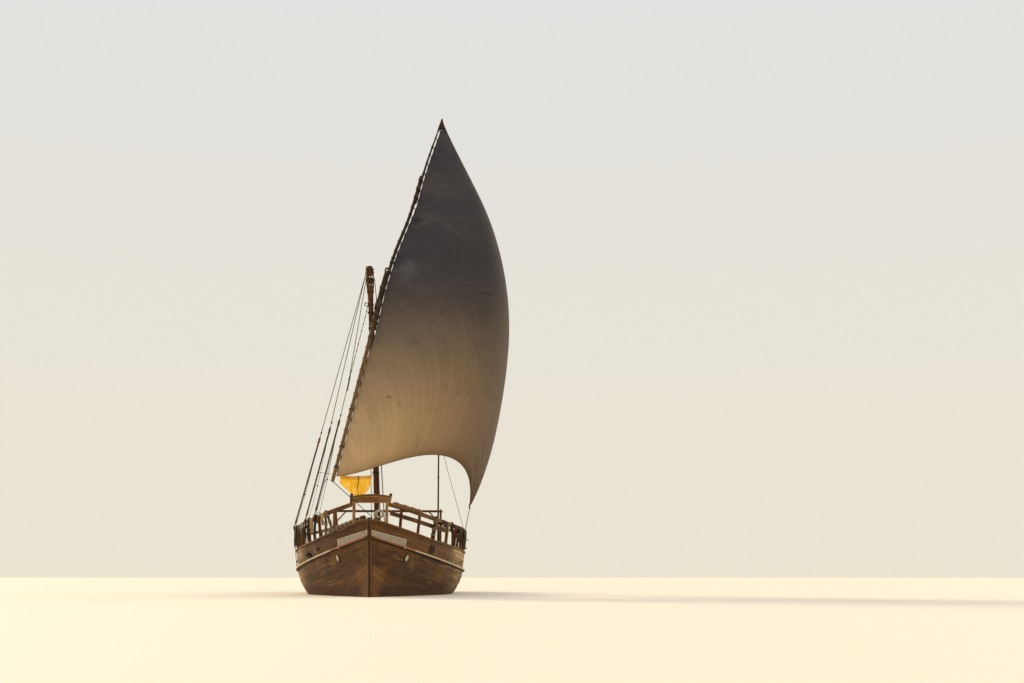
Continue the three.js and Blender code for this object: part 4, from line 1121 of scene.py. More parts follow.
def bulwarkSide(solids, side):
    look = upperLook
    gap = look["boardSeam"] / 2
    for k in range(look["boards"]):
        ends = butts(solids.chance, hull["transomX"], hull["stemStation"] - 0.01, 5.5)
        for start, end in zip(ends, ends[1:]):

            def outer(s):
                deep = min(0.045, (halfAt(s, waleAt(s)) - 0.01) / 2)
                top = bulwarkTopAt(s)
                a = waleAt(s) + top * k / look["boards"] + gap
                b = waleAt(s) + top * (k + 1) / look["boards"] - gap
                return [(-deep, a), (0.0, a), (0.0, b), (-deep, b)]

            hullStrip(solids, side, start + 0.002, end - 0.002, outer, 0.005)

    def inner(s):
        near = min(0.05, halfAt(s, waleAt(s)) * 0.5)
        far = min(look["bulwarkThick"], halfAt(s, waleAt(s)) - 0.006)
        a, b = waleAt(s) + 0.02, waleAt(s) + bulwarkTopAt(s) - 0.002
        return [(-far, a), (-near, a), (-near, b), (-far, b)]

    hullStrip(solids, side, hull["transomX"] + 0.002, hull["stemStation"] - 0.03, inner, 0.004)


def rubbingStrake(solids, side, section):
    # The section gives (reach, height) pairs from the hull's side round to it again
    def corners(s):
        wale = waleAt(s)
        return [(reach - halfAt(s, wale + rise) + waleHalf(s), wale + rise) for reach, rise in section]

    hullStrip(solids, side, hull["transomX"] + 0.002, upperLook["waleTo"], corners, 0.012, 0.3)


def capRail(solids, side):
    look = upperLook

    def corners(s):
        low, high = waleAt(s) + bulwarkTopAt(s), waleAt(s) + capHighAt(s)
        inner = min(look["capIn"], halfAt(s, low) - 0.008)
        return [(-inner, low), (look["capOut"], low), (look["capOut"], high), (-inner, high)]

    ends = (hull["transomX"] + 0.002, -5.2, 0.9, 6.4, look["capTo"])
    for start, end in zip(ends, ends[1:]):
        hullStrip(solids, side, start + 0.0015, end - 0.0015, corners, 0.01)


def railPoint(side, station, height, inward=None):
    z = waleAt(station) + height
    inward = upperLook["railWide"] / 2 if inward is None else inward
    return sidePoint(side, station, z, -inward)


def railStrip(solids, side, start, end, drop, deep, wide, ease=0.014):
    # A rail on the line of the posts, its top lower than the open rail's by drop
    middle = -upperLook["railWide"] / 2

    def corners(s):
        high = waleAt(s) + railTopAt(s) - drop
        return [(middle - wide / 2, high - deep), (middle + wide / 2, high - deep),
                (middle + wide / 2, high), (middle - wide / 2, high)]

    hullStrip(solids, side, start, end, corners, ease, 0.4)


def openRail(solids, side, label):
    look = upperLook
    ends = (look["railFrom"], *look["railJoins"], look["railTo"])
    for start, end in zip(ends, ends[1:]):
        railStrip(solids, side, start + 0.002, end - 0.002, 0.0, look["railDeep"], look["railWide"])
    if label == "port":
        railStrip(solids, side, look["lowerFrom"], look["lowerTo"], look["lowerDrop"],
                  look["lowerDeep"], look["lowerWide"], 0.008)
    for s in postStations[label]:
        foot = railPoint(side, s, capHighAt(s) - 0.005)
        head = railPoint(side, s, railTopAt(s) - look["railDeep"] + 0.01)
        knee = foot.lerp(head, 0.5) + Vector((0, 0, 0.01))
        wide = look["postHalf"] * 2 * solids.chance.uniform(0.9, 1.02)
        solids.beam([foot, knee, head], [wide, wide * 0.96, wide], [wide, wide * 0.94, wide],
                    (1, 0, 0), 0.012)


def buildTopsides():
    for label, side in sides.items():
        boards = Solids(20 + side)
        bulwarkSide(boards, side)
        boards.piece(f"bulwark_boards_{label}", "topside", "hull", "planking", [f"bulwark_{label}"])
        strakes = Solids(24 + side)
        out, low, high, split = (upperLook[k] for k in ("waleOut", "waleLow", "waleHigh", "waleSplit"))
        rubbingStrake(strakes, side, ((0.002, split), (out, split), (out, high - 0.02), (0.004, high)))
        strakes.piece(f"rub_rail_{label}", "walePaint", "hull", "wale", [f"rubbing_strake_{label}"])
        # The lower part of the rubbing strake in dark wood: painted shade under the strake
        shadeBand = Solids(36 + side)
        rubbingStrake(shadeBand, side, ((0.002, low), (out - 0.024, low + 0.03), (out - 0.018, split),
                                   (0.002, split)))
        shadeBand.piece(f"rub_rail_foot_{label}", "backbone", "hull", "wale")
        rails = Solids(28 + side)
        capRail(rails, side)
        rails.piece(f"cap_boards_{label}", "upperworks", "hull", "upperworks", [f"cap_rail_{label}"])
        posts = Solids(32 + side)
        openRail(posts, side, label)
        posts.piece(f"top_rail_{label}", "upperworks", "hull", "upperworks", [f"open_rail_{label}"])


buildHullPlanks()
buildDecks()
buildTopsides()
print("hull, decks and rails built")


# Mast: smooth and tapered, with two sheaves in its head, rope bands and a cap
mastLook = {
    "foot": (3.55, 0.05, 1.4), "head": (5.35, -0.52, 15.1), "sides": 32,
    "girth": [(1.25, 0.158), (3.0, 0.148), (6.5, 0.136), (10.5, 0.124), (13.3, 0.121), (13.75, 0.131),
              (14.0, 0.158), (14.15, 0.178), (14.4, 0.188), (14.75, 0.183), (14.96, 0.17),
              (15.06, 0.14), (15.11, 0.09)],
    "slotZ": 14.44, "slotHigh": 0.5, "slotHalf": 0.024, "slotPlaces": (-0.01, 0.1),
    "sheave": 0.135, "sheaveThick": 0.03,
    "bands": ((2.35, 5, 0.012), (5.6, 3, 0.01), (9.2, 3, 0.01), (12.2, 6, 0.013), (13.9, 4, 0.012)),
}
mastFoot, mastHead = Vector(mastLook["foot"]), Vector(mastLook["head"])
mastAxis = (mastHead - mastFoot).normalized()


def mastAt(z):
    return mastFoot + mastAxis * ((z - mastFoot.z) / mastAxis.z)


def mastRadius(z):
    heights, radii = zip(*mastLook["girth"])
    return float(np.interp(z, heights, radii))


def holed(piece, cutters):
    # The piece with the cutters' solids taken out of it
    for cutter in cutters:
        change = piece.modifiers.new("cut", "BOOLEAN")
        change.operation, change.object, change.solver = "DIFFERENCE", cutter, "EXACT"
    graph = bpy.context.evaluated_depsgraph_get()
    made = bpy.data.meshes.new_from_object(piece.evaluated_get(graph))
    piece.modifiers.clear()
    piece.data = made
    for cutter in cutters:
        bpy.data.objects.remove(cutter)


def blockOut(low, high):
    # A plain box, only used to cut with
    mesh = bpy.data.meshes.new("cutter")
    shape = bmesh.new()
    bmesh.ops.create_cube(shape, size=1.0)
    size, middle = Vector(high) - Vector(low), (Vector(low) + Vector(high)) / 2
    for corner in shape.verts:
        corner.co = Vector([corner.co[k] * size[k] + middle[k] for k in range(3)])
    shape.to_mesh(mesh)
    shape.free()
    made = linked("cutter", mesh)
    return made


def buildMast():
    look = mastLook
    pole = Solids(40)
    heights = sorted({z for z, _ in look["girth"]} | set(steps(1.25, 14.75, 0.45)))
    pole.tube([mastAt(z) for z in heights], [mastRadius(z) for z in heights], look["sides"], tone=0.5)
    made = pole.piece("mast_pole", "mastWood", "hull", "mast", ["mast"])
    cutters = []
    at, half, rise = mastAt(look["slotZ"]), look["slotHalf"], Vector((0, 0, look["slotHigh"] / 2))
    for offset in look["slotPlaces"]:
        cutters.append(blockOut(at + Vector((-0.4, offset - half, 0)) - rise,
                                at + Vector((0.4, offset + half, 0)) + rise))
    holed(made, cutters)
    wheels = Solids(41)
    across = Vector((0, 1, 0))
    for offset in look["slotPlaces"]:
        middle, r, thin = at + across * offset, look["sheave"], look["sheaveThick"] / 2
        offsets = [-thin, -thin * 0.5, 0, thin * 0.5, thin]
        wheels.tube([middle + across * o for o in offsets], [r, r * 0.9, r * 0.86, r * 0.9, r], 20)
    wheels.tube([at - across * 0.2, at + across * 0.2], 0.014, 10)
    wheels.piece("mast_sheaves", "oldIron", "hull", "mast")
    bands = Solids(42)
    for z, count, thick in look["bands"]:
        bands.turns(mastAt(z), mastAxis, mastRadius(z) + thick * 0.8, count, thick)
    bands.piece("mast_rope_bands", "tarredRope", "hull", "rope")
    cap = Solids(43)
    at = mastAt(15.03) + Vector((0.05, -0.12, 0))
    for k in range(5):
        center, turned = at + Vector((0.0, -0.008 * k, 0.004 * k)), 0.5 * k
        up = Vector((0, math.cos(turned), math.sin(turned + 0.6))) * 0.055
        cap.rope(ringOf(center, Vector((0.05, 0, 0)), up, 24), 0.013, closed=True)
    cap.piece("masthead_knot", "whiteRope", "hull", "rope")


# Yard: three spars side by side, each higher one on the sail side, and the sail they carry
yardLook = {
    "line": [(11.4, -1.59, 4.71), (8.3, -0.88, 8.75), (5.6, -0.24, 12.42), (3.6, 0.32, 15.43),
             (1.3, 1.17, 18.41), (-1.2, 1.89, 21.65), (-3.8, 2.82, 25.31)],
    "clew": (-0.8, 4.31, 4.28), "smooth": 0.97, "sides": 20, "seam": 0.0003,
    "spars": [("lower", 0.0, 0.5, (0.080, 0.100, 0.095)), ("middle", 0.36, 0.8, (0.080, 0.085, 0.075)),
              ("tip", 0.72, 1.0, (0.066, 0.058, 0.032))],
    "pairLashings": (0.375, 0.392, 0.422, 0.458, 0.505, 0.735, 0.762, 0.79),
    "lashings": (0.03, 0.074, 0.159, 0.334, 0.355, 0.532, 0.545, 0.7, 0.812, 0.9, 0.96),
    "turns": 7, "cord": 0.011,
}
clew = np.array(yardLook["clew"])
sparFlat = math.cos(math.pi / 8)  # the part's spars have eight sides
yardLine = np.array([tuple(p) for p in curved(yardLook["line"], 60)])
yardRun = np.concatenate([[0], np.cumsum(np.linalg.norm(np.diff(yardLine, axis=0), axis=1))])


def yardCenter(t):
    run = min(1.0, max(0.0, t)) * yardRun[-1]
    return np.array([np.interp(run, yardRun, yardLine[:, k]) for k in range(3)])


def yardTangent(t):
    way = yardCenter(t + 0.001) - yardCenter(t - 0.001)
    return way / np.linalg.norm(way)


def sailward(t):
    tangent = yardTangent(t)
    out = clew - yardCenter(t)
    out = out - tangent * (out @ tangent)
    return out / np.linalg.norm(out)


def sparRadius(index, t):
    _, start, end, girth = yardLook["spars"][index]
    return float(np.interp(2 * clamp01((t - start) / (end - start)), [0, 1, 2], girth))


def sparOffset(index, t):
    total = 0.0
    for i in range(index):
        shared = min(yardLook["spars"][i][2], max(yardLook["spars"][i + 1][1], t))
        total += (sparRadius(i, shared) + sparRadius(i + 1, shared)) * sparFlat + 2 * yardLook["seam"]
    return total


def yardShift(t):
    joined = sparOffset(1, t)
    first = joined * (0.5 * smooth((t - 0.32) / 0.1) + 0.5 * smooth((t - 0.5) / 0.1))
    return first + (sparOffset(2, t) - joined) * smooth((t - 0.68) / 0.2)


def yardPoint(t, offset):
    return Vector(yardCenter(t) + sailward(t) * (offset - yardShift(t)))


def luffOffset(t):
    joined = sparOffset(1, t)
    return joined * smooth((t - 0.28) / 0.1) + (sparOffset(2, t) - joined) * smooth((t - 0.64) / 0.1)


def topSpar(t):
    # The spar that the sail side of the yard is on
    return max(i for i, spar in enumerate(yardLook["spars"]) if t >= spar[1])


def woundPair(solids, t, first, last, count, thick):
    # Turns of rope drawn tight round two neighboring spars, or round one
    way, toSail = Vector(yardTangent(t)), Vector(sailward(t))
    across = way.cross(toSail)
    near, far = sparOffset(first, t), sparOffset(last, t)
    rNear, rFar = sparRadius(first, t) + thick, sparRadius(last, t) + thick
    path = []
    for i in range(count * 18 + 1):
        angle = 2 * math.pi * i / 18
        center, r = (far, rFar) if math.cos(angle) >= 0 else (near, rNear)
        at = yardPoint(t, center + r * math.cos(angle)) + across * r * math.sin(angle)
        path.append(at + way * ((i / 18 - count / 2) * thick * 2.05))
    solids.rope(path, thick)


def buildYard():
    look = yardLook
    for index, (name, start, end, _) in enumerate(look["spars"]):
        spar = Solids(50 + index)
        places = steps(start, end, 0.0125)
        chance = random.Random(60 + index)
        radii = [sparRadius(index, t) * look["smooth"] * chance.uniform(0.985, 1.01) for t in places]
        path = [yardPoint(t, sparOffset(index, t)) for t in places]
        spar.tube(path, radii, look["sides"], tone=0.35 + 0.15 * index, ease=0.02)
        # The lower spar takes the lighter wood, whose paleness is painted sunlight
        wood = "sunlitLowSparWood" if name == "lower" else "sparWood"
        spar.piece(f"yard_{name}_pole", wood, "yard", "spar", [f"yard_{name}_spar"])
    lashings = Solids(54)
    for t in look["pairLashings"]:
        index = topSpar(t)
        woundPair(lashings, t, index - 1, index, look["turns"], look["cord"])
    for t in look["lashings"]:
        index = topSpar(t)
        woundPair(lashings, t, index, index, 4, look["cord"] * 0.9)
    lashings.piece("yard_lashings", "yardRope", "yard", "rope")


# Sail: the part's surface, drawn in at each lacing and puffed between the seams of its cloths
sailLook = {
    "peak": (-3.7, 2.88, 25.1), "leeward": (0.42308, 0.89801, 0.12073), "gap": 0.19,
    "rise": 1.788, "riseSkew": 1.566, "lee": 0.938, "leeSkew": 2.305,
    "belly": 2.629, "bellySkew": 0.88, "bellyDown": 1.101,
    "leech": 2.49, "leechDown": 1.369, "leechPower": 0.818, "gather": 1.5,
    "rows": 190, "columns": 96, "thick": 0.006, "panels": 36, "puff": 0.006,
    "lacings": 34, "scallop": 0.03, "crease": 0.006, "ripple": 0.004, "seamWide": 0.03,
    "flat": (12.3, 25.6),
}


def yardShare(v):
    return 0.985 - 0.968 * v


luffShares = np.linspace(0.0, 1.0, 201)
luffLine = np.array([
    tuple(yardPoint(yardShare(v), luffOffset(yardShare(v)) + sailLook["gap"])) for v in luffShares])


def sailBase(u, v):
    # The surface of the part's sail for arrays of u, luff to leech, and v, peak to clew
    look = sailLook
    peak = np.array(look["peak"])

    def bump(x, skew, power):
        return np.sin(np.pi * np.clip(x ** skew, 0, 1)) ** power

    luff = np.stack([np.interp(v, luffShares, luffLine[:, k]) for k in range(3)], -1)
    leech = peak + (clew - peak) * v[..., None]
    gather = v ** look["gather"]
    points = luff + (leech - luff) * u[..., None]
    points[..., 2] += gather * look["rise"] * bump(u, look["riseSkew"], 0.8)
    draft = gather * look["lee"] * bump(u, look["leeSkew"], 0.9)
    draft += look["belly"] * bump(u, look["bellySkew"], 1) * bump(v, look["bellyDown"], 0.9)
    draft += look["leech"] * u ** 1.5 * bump(v, look["leechDown"], look["leechPower"])
    return points + draft[..., None] * np.array(look["leeward"])


def sailNormals(u, v):
    step = 0.002
    across = sailBase(np.clip(u + step, 0, 1), v) - sailBase(np.clip(u - step, 0, 1), v)
    down = sailBase(u, np.clip(v + step, 0.01, 1)) - sailBase(u, np.clip(v - step, 0.01, 1))
    normal = np.cross(across, down)
    normal /= np.linalg.norm(normal, axis=-1, keepdims=True)
    return normal * np.sign(normal @ np.array(sailLook["leeward"]))[..., None]


def rippleField(u, v, seed):
    # A few crossed swells, the same each run
    chance = random.Random(seed)
    out = np.zeros_like(u)
    for _ in range(9):
        a, b = chance.uniform(-9, 9), chance.uniform(4, 26)
        out += np.sin(a * u * 3 + b * v * 2 + chance.uniform(0, 6.28)) * chance.uniform(0.4, 1.0)
    return out / 5


def lacingShares():
    count = sailLook["lacings"]
    return [lerp(0.024, 0.99, k / (count - 1)) for k in range(count)]


def sailSurface(u, v):
    look = sailLook
    points, normals = sailBase(u, v), sailNormals(u, v)
    width = np.linalg.norm(sailBase(np.zeros_like(v), v) - sailBase(np.ones_like(v), v), axis=-1)
    fromLuff = u * width
    shares = np.array(lacingShares())
    pitch = shares[1] - shares[0]
    phase = (v - shares[0]) / pitch
    between = np.abs(np.sin(np.pi * phase))  # 0 at each lacing
    near = np.exp(-fromLuff / 0.35)
    pulled = np.array([sailward(yardShare(s)) for s in luffShares])
    toSail = np.stack([np.interp(v, luffShares, pulled[:, k]) for k in range(3)], -1)
    points = points + toSail * (near * look["scallop"] * (1 - between) * -1.0)[..., None]
    fan = np.exp(-fromLuff / 1.1) * (1 - np.exp(-fromLuff / 0.12))
    relief = look["crease"] * fan * np.cos(2 * np.pi * phase)
    w = v * (1 - u) * look["panels"]
    relief = relief + look["puff"] * (np.abs(np.sin(np.pi * w)) ** 0.6 - 0.6)
    edge = np.minimum(1, fromLuff / 0.4) * np.minimum(1, (1 - u) * width / 0.3)
    relief = relief + look["ripple"] * rippleField(u, v, 71) * edge
    clewPull = np.exp(-((1 - u) ** 2 * 30 + (1 - v) ** 2 * 90))
    relief = relief + 0.03 * clewPull * np.sin(26 * np.arctan2(1 - v, 1.0001 - u))
    return points + normals * relief[..., None], normals


def clothPiece(name, material, body, front, normals, thick, replaced=(), layers=()):
    # A closed sheet through a grid of points, with a flat map in metres named cloth
    rows, columns = front.shape[:2]
    back = rows * columns
    both = np.concatenate([(front + normals * thick / 2).reshape(-1, 3),
                           (front - normals * thick / 2).reshape(-1, 3)])
    index = np.arange(back).reshape(rows, columns)
    a, b = index[:-1, :-1].ravel(), index[:-1, 1:].ravel()
    c, d = index[1:, 1:].ravel(), index[1:, :-1].ravel()
    faces = np.concatenate([np.stack([a, d, c, b], -1), np.stack([a, b, c, d], -1) + back])
    rim = np.concatenate([index[0, :-1], index[:-1, -1], index[-1, :0:-1], index[:0:-1, 0]])
    ahead = np.roll(rim, -1)
    faces = np.concatenate([faces, np.stack([rim, ahead, ahead + back, rim + back], -1)])
    sample = faces[len(a) // 2]
    facing = np.cross(both[sample[1]] - both[sample[0]], both[sample[2]] - both[sample[1]])
    if facing @ normals.reshape(-1, 3)[sample[0]] < 0:
        faces = faces[:, ::-1]
    mesh = bpy.data.meshes.new(name)
    mesh.from_pydata([tuple(p) for p in both], [], [tuple(int(i) for i in f) for f in faces])
    mesh.materials.append(materials[material])
    across = np.concatenate([np.zeros((rows, 1)), np.cumsum(
        np.linalg.norm(np.diff(front, axis=1), axis=-1), axis=1)], axis=1)
    down = np.concatenate([np.zeros((1, columns)), np.cumsum(
        np.linalg.norm(np.diff(front, axis=0), axis=-1), axis=0)], axis=0)
    flat = np.tile(np.stack([across.ravel(), down.ravel()], -1), (2, 1))
    corner = np.zeros(len(mesh.loops), np.int32)
    mesh.loops.foreach_get("vertex_index", corner)
    mesh.uv_layers.new(name="cloth").data.foreach_set("uv", flat[corner].astype(np.float32).ravel())
    for label, values in layers:
        layer = mesh.attributes.new(label, "FLOAT", "POINT")
        layer.data.foreach_set("value", np.tile(values.ravel(), 2).astype(np.float32))
    smoothed(mesh, 50)
    made = linked(name, mesh)
    return settled(made, body, replaced)


def meshArea(front):
    a, b, c, d = front[:-1, :-1], front[:-1, 1:], front[1:, 1:], front[1:, :-1]
    return 0.5 * (np.linalg.norm(np.cross(b - a, c - a), axis=-1).sum()
                  + np.linalg.norm(np.cross(c - a, d - a), axis=-1).sum())


def buildSail():
    look = sailLook
    v, u = np.meshgrid(np.linspace(0.02, 1, look["rows"]), np.linspace(0, 1, look["columns"]),
                       indexing="ij")
    front, normals = sailSurface(u, v)
    width = np.linalg.norm(front[:, :1] - front[:, -1:], axis=-1)
    panel = v * (1 - u) * look["panels"]
    nearLuff = np.exp(-(u * width) / 1.6)
    hem = np.exp(-(1 - v) * look["flat"][1] / 0.35)
    sail = clothPiece("lateen_sail", "sailCloth", "yard", front, normals, look["thick"],
                      ["sail"], [("panel", panel), ("luff", nearLuff), ("hem", hem)])
    area = float(meshArea(front))
    print("sail area", round(area, 2))
    return sail, area


def surfacePath(us, vs, out):
    points, normals = sailSurface(np.array(us), np.array(vs))
    return [Vector(p + n * out) for p, n in zip(points, normals)]


# Ropes and ties of the sail: their radii, and where along the yard the head of the sail is tied
trimLook = {
    "luffRope": 0.014, "edgeRope": 0.013, "lashing": 0.009, "lacing": 0.008,
    "headTies": 23, "headFrom": 0.966, "headTo": 0.997, "headTie": 0.015,
}


def buildEdgeRopes():
    look = trimLook
    edges = Solids(73)
    down, across = np.linspace(0.02, 1, 260), np.linspace(0, 1, 180)
    edges.rope(surfacePath(np.zeros(260), down, 0.0), look["luffRope"])
    edges.rope(surfacePath(across, np.ones(180), 0.0), look["edgeRope"])
    edges.rope(surfacePath(np.ones(260), down, 0.0), look["edgeRope"])
    return edges.piece("sail_edge_ropes", "tarredRope", "yard", "rope")


def buildLacings():
    look = trimLook
    lacings = Solids(74)
    for v in lacingShares():
        t = yardShare(v)
        index = topSpar(t)
        luff = surfacePath([0.0], [v], 0.0)[0]
        spar = yardPoint(t, sparOffset(index, t))
        way = Vector(yardTangent(t))
        r = sparRadius(index, t) + 0.012
        across = way.cross(Vector(sailward(t)))
        loop = []
        for k in range(25):
            angle = 2 * math.pi * k / 24
            loop.append(spar + (Vector(sailward(t)) * math.cos(angle) + across * math.sin(angle)) * r
                        + way * (0.012 * (k / 12 - 1)))
        lacings.rope(loop, look["lashing"])
        for lift in (-0.008, 0.01):
            start = spar + Vector(sailward(t)) * r * 0.98 + way * lift
            lacings.rope([start, start.lerp(luff, 0.5) + way * lift, luff + way * lift * 0.4], look["lacing"])
        lacings.turns(luff + Vector(sailward(t)) * 0.01, way, 0.024, 2, look["lacing"])
    for share in np.linspace(0, 1, look["headTies"]):
        head = surfacePath([share], [0.02], 0.0)[0]
        t = lerp(look["headFrom"], look["headTo"], share)
        spar = yardPoint(t, sparOffset(2, t) + sparRadius(2, t) * 0.9)
        lacings.rope([head, head.lerp(spar, 0.5) + Vector((0, 0, -0.01)), spar], look["headTie"])
        lacings.turns(yardPoint(t, sparOffset(2, t)), yardTangent(t), sparRadius(2, t) + 0.012, 2, 0.011)
    corner = Vector(sailBase(np.array([1.0]), np.array([1.0]))[0])
    lacings.turns(corner + Vector((-0.012, 0.012, -0.03)), (-0.15, 0.1, -1), 0.03, 8, 0.012)
    return lacings.piece("sail_lacings", "tarredRope", "yard", "rope")


def buildSeams():
    look = sailLook
    seams = Solids(75)
    for k in range(1, look["panels"]):
        w = k / look["panels"]
        start = max(w * 1.002, 0.03)
        vs = np.linspace(start, 0.9985, max(6, int((1 - start) * 240)))
        us = 1 - w / vs
        keep = (us > 0.004) & (us < 0.996)
        if keep.sum() < 3:
            continue
        points, normals = sailSurface(us[keep], vs[keep])
        ways = np.gradient(points, axis=0)
        wides = np.cross(normals, ways)
        wides /= np.linalg.norm(wides, axis=-1, keepdims=True)
        half, lift = look["seamWide"] / 2, look["thick"] / 2 + 0.0035
        rings = []
        for p, n, a in zip(points, normals, wides):
            flat = [(-half, -lift), (half, -lift), (half, lift), (-half, lift)]
            rings.append([Vector(p + a * x + n * y) for x, y in flat])
        seams.loft(rings, [0, 0, 0, 0])
    return seams.piece("sail_seams", "sailSeam", "yard", "canvas")


# Blocks and standing ropes
blockLook = {"cheek": 0.26, "gap": 0.2, "sheave": 0.62, "sections": 9}


def addBlock(wood, iron, rope, middle, along, face, long, wide):
    # Two wooden cheeks with a sheave between them and a rope strop round the shell
    look = blockLook
    along, face = Vector(along).normalized(), Vector(face)
    face = (face - along * face.dot(along)).normalized()
    side = along.cross(face)
    profile = [(-0.5, 0.3), (-0.44, 0.62), (-0.3, 0.88), (-0.1, 1.0), (0.1, 1.0), (0.3, 0.88),
               (0.44, 0.62), (0.5, 0.3)]
    deep = wide * 0.85
    for way in (-1, 1):
        rings = []
        for share, breadth in profile:
            half = wide / 2 * breadth
            near, far = deep * look["gap"] / 2, deep * look["gap"] / 2 + deep * look["cheek"] * breadth
            flat, wear = eased([(-half, near), (half, near), (half * 0.8, far), (-half * 0.8, far)],
                               0.008, 0.02)
            rings.append([middle + along * share * long + side * a + face * way * b for a, b in flat])
        wood.loft(rings, wear)
    r = wide / 2 * look["sheave"]
    thin = deep * look["gap"] * 0.42
    for lift in (-0.16, 0.16):
        hub = middle + along * long * lift
        iron.tube([hub - face * thin, hub, hub + face * thin], [r * 0.7, r * 0.6, r * 0.7], 14)
        reach = deep * 0.5
        iron.tube([hub - face * reach, hub + face * reach], 0.009, 8)
    loop = []
    for k in range(33):
        angle = 2 * math.pi * k / 32
        loop.append(middle + along * math.cos(angle) * (long / 2 + 0.02)
                    + side * math.sin(angle) * (wide / 2 + 0.012))
    rope.rope(loop, 0.012)


shroudLook = {
    "shroud_aft": {"head": 14.95, "block": (3.5, -2.84, 7.1), "foot": 2.0},
    "shroud_middle": {"head": 14.82, "block": (5.0, -2.25, 7.42), "foot": 5.7},
    "shroud_fore": {"head": 14.5, "block": (5.56, -1.79, 7.74), "foot": 7.15,
                    "bridle": (5.46, -1.37, 9.7), "secondHead": 13.32},
}


def outsidePoint(side, station, height, out):
    return sidePoint(side, station, waleAt(station) + height, out)


def hounds(z, target):
    # Where a rope that leads to the target leaves the mast
    axis = mastAt(z)
    towards = target - axis
    towards.z = 0
    return axis + towards.normalized() * (mastRadius(z) - 0.005)


def knottedLeg(rope, top, knot):
    # A second leg with a ring at its head and knots along it
    way = (knot - top).normalized()
    rope.rope([top, knot], 0.016)
    for k in range(1, 11):
        rope.turns(top.lerp(knot, k / 11.5), way, 0.021, 2, 0.012)
    rope.turns(knot - way * 0.1, way, 0.03, 8, 0.013)
    rope.turns(knot + Vector((0.01, -0.035, -0.25)), (0.04, -0.2, -1), 0.028, 22, 0.011)
    ring = top + Vector((0.0, -0.085, 0.0))
    loop = [ring + Vector((0.01, math.cos(a), math.sin(a))) * 0.085
            for a in (2 * math.pi * k / 24 for k in range(24))]
    rope.rope(loop, 0.024, closed=True)
    rope.turns(mastAt(top.z), mastAxis, mastRadius(top.z) + 0.016, 2, 0.018)


def buildShrouds():
    wood, iron = Solids(80), Solids(81)
    for name, look in shroudLook.items():
        rope = Solids(82)
        middle = Vector(look["block"])
        knot = Vector(look.get("bridle", look["block"]))
        rail = outsidePoint(-1, look["foot"], railTopAt(look["foot"]), 0.06)
        lower = outsidePoint(-1, look["foot"], 0.075, 0.07)
        end = rail.lerp(middle, 0.08)
        along = (middle - rail).normalized()
        across = Vector((1, 0, 0))
        rope.rope([hounds(look["head"], knot), knot, middle + along * 0.2], 0.019)
        rope.turns(mastAt(look["head"]), mastAxis, mastRadius(look["head"]) + 0.015, 2, 0.019)
        if "bridle" in look:
            knottedLeg(rope, hounds(look["secondHead"], knot), knot)
        rope.turns(middle + along * 0.42, along, 0.026, 6, 0.009)
        addBlock(wood, iron, rope, middle, along, across.cross(along), 0.38, 0.15)
        addBlock(wood, iron, rope, end, along, across.cross(along), 0.3, 0.13)
        for k in (-1, 1):
            apart = Vector((0.018, 0.026, 0)) * k
            rope.rope([middle + apart, end + apart], 0.018)
        rope.rope([middle + across * 0.012 - along * 0.05, end + across * 0.05 + along * 0.1,
                   rail + Vector((0.06, 0.0, 0.06))], 0.012)
        rope.rope([end - along * 0.12, rail, lower.lerp(rail, 0.5) + Vector((0, -0.01, 0)), lower], 0.0175)
        rope.turns(rail + Vector((0, 0.02, 0.0)), (1, 0, 0), 0.06, 4, 0.013)
        rope.turns(lower + Vector((0, 0, 0.2)), (0, 0, 1), 0.03, 5, 0.01)
        wood.tube([lower + Vector((-0.06, 0, 0.03)), lower + Vector((-0.03, 0, 0.03)),
                   lower + Vector((0.03, 0, 0.03)), lower + Vector((0.06, 0, 0.03))],
                  [0.022, 0.034, 0.034, 0.022], 12)
        rope.piece(name + "_ropes", "tarredRope", "hull", "rope", [name])
    wood.piece("shroud_blocks", "blockWood", "hull", "spar")
    iron.piece("shroud_block_sheaves", "oldIron", "hull", "iron")


def yardAxisAt(z):
    heights = np.array([yardPoint(k / 400, 0).z for k in range(401)])
    return yardPoint(float(np.interp(z, heights, np.linspace(0, 1, 401))), 0)


def buildHalyards():
    parrel = Solids(90)
    parrel.turns(mastAt(12.95), mastAxis, mastRadius(12.95) + 0.032, 2, 0.02)
    start = mastAt(12.95) + Vector((0.06, mastRadius(12.95) + 0.03, 0))
    parrel.rope([start, yardAxisAt(12.95)], 0.019)
    parrel.piece("parrel_rope", "tarredRope", "yard", "rope", ["yard_parrel"])
    slingSide = yardAxisAt(13.2) - mastAt(13.2)
    slingSide.z = 0
    head = mastAt(14.5) + slingSide.normalized() * (mastRadius(14.5) + 0.032)
    line = Solids(91)
    line.rope([head, yardAxisAt(13.2)], 0.021)
    line.piece("halyard_rope", "tarredRope", "yard", "rope", ["halyard"])
    wood, iron = Solids(92), Solids(93)
    for label, side in sides.items():
        fall = Solids(94 + side)
        sheave = mastAt(14.36) + Vector((-0.12, 0.1 if side > 0 else -0.01, 0))
        top = mastAt(14.28) + Vector((-0.27, side * 0.06, 0))
        foot = mastAt(1.65) + Vector((-0.26, side * 0.33, 0))
        foot.z = 1.66
        along = (top - foot).normalized()
        middle = foot + along * 1.15
        fall.rope([foot, middle - along * 0.2], 0.0175)
        fall.rope([middle + along * 0.2, top, sheave], 0.0175)
        addBlock(wood, iron, fall, middle, along, (0, side, 0), 0.52, 0.24)
        fall.piece(f"halyard_fall_rope_{label}", "tarredRope", "hull", "rope", [f"halyard_fall_{label}"])
    wood.piece("halyard_blocks", "blockWood", "hull", "spar")
    iron.piece("halyard_block_sheaves", "oldIron", "hull", "iron")


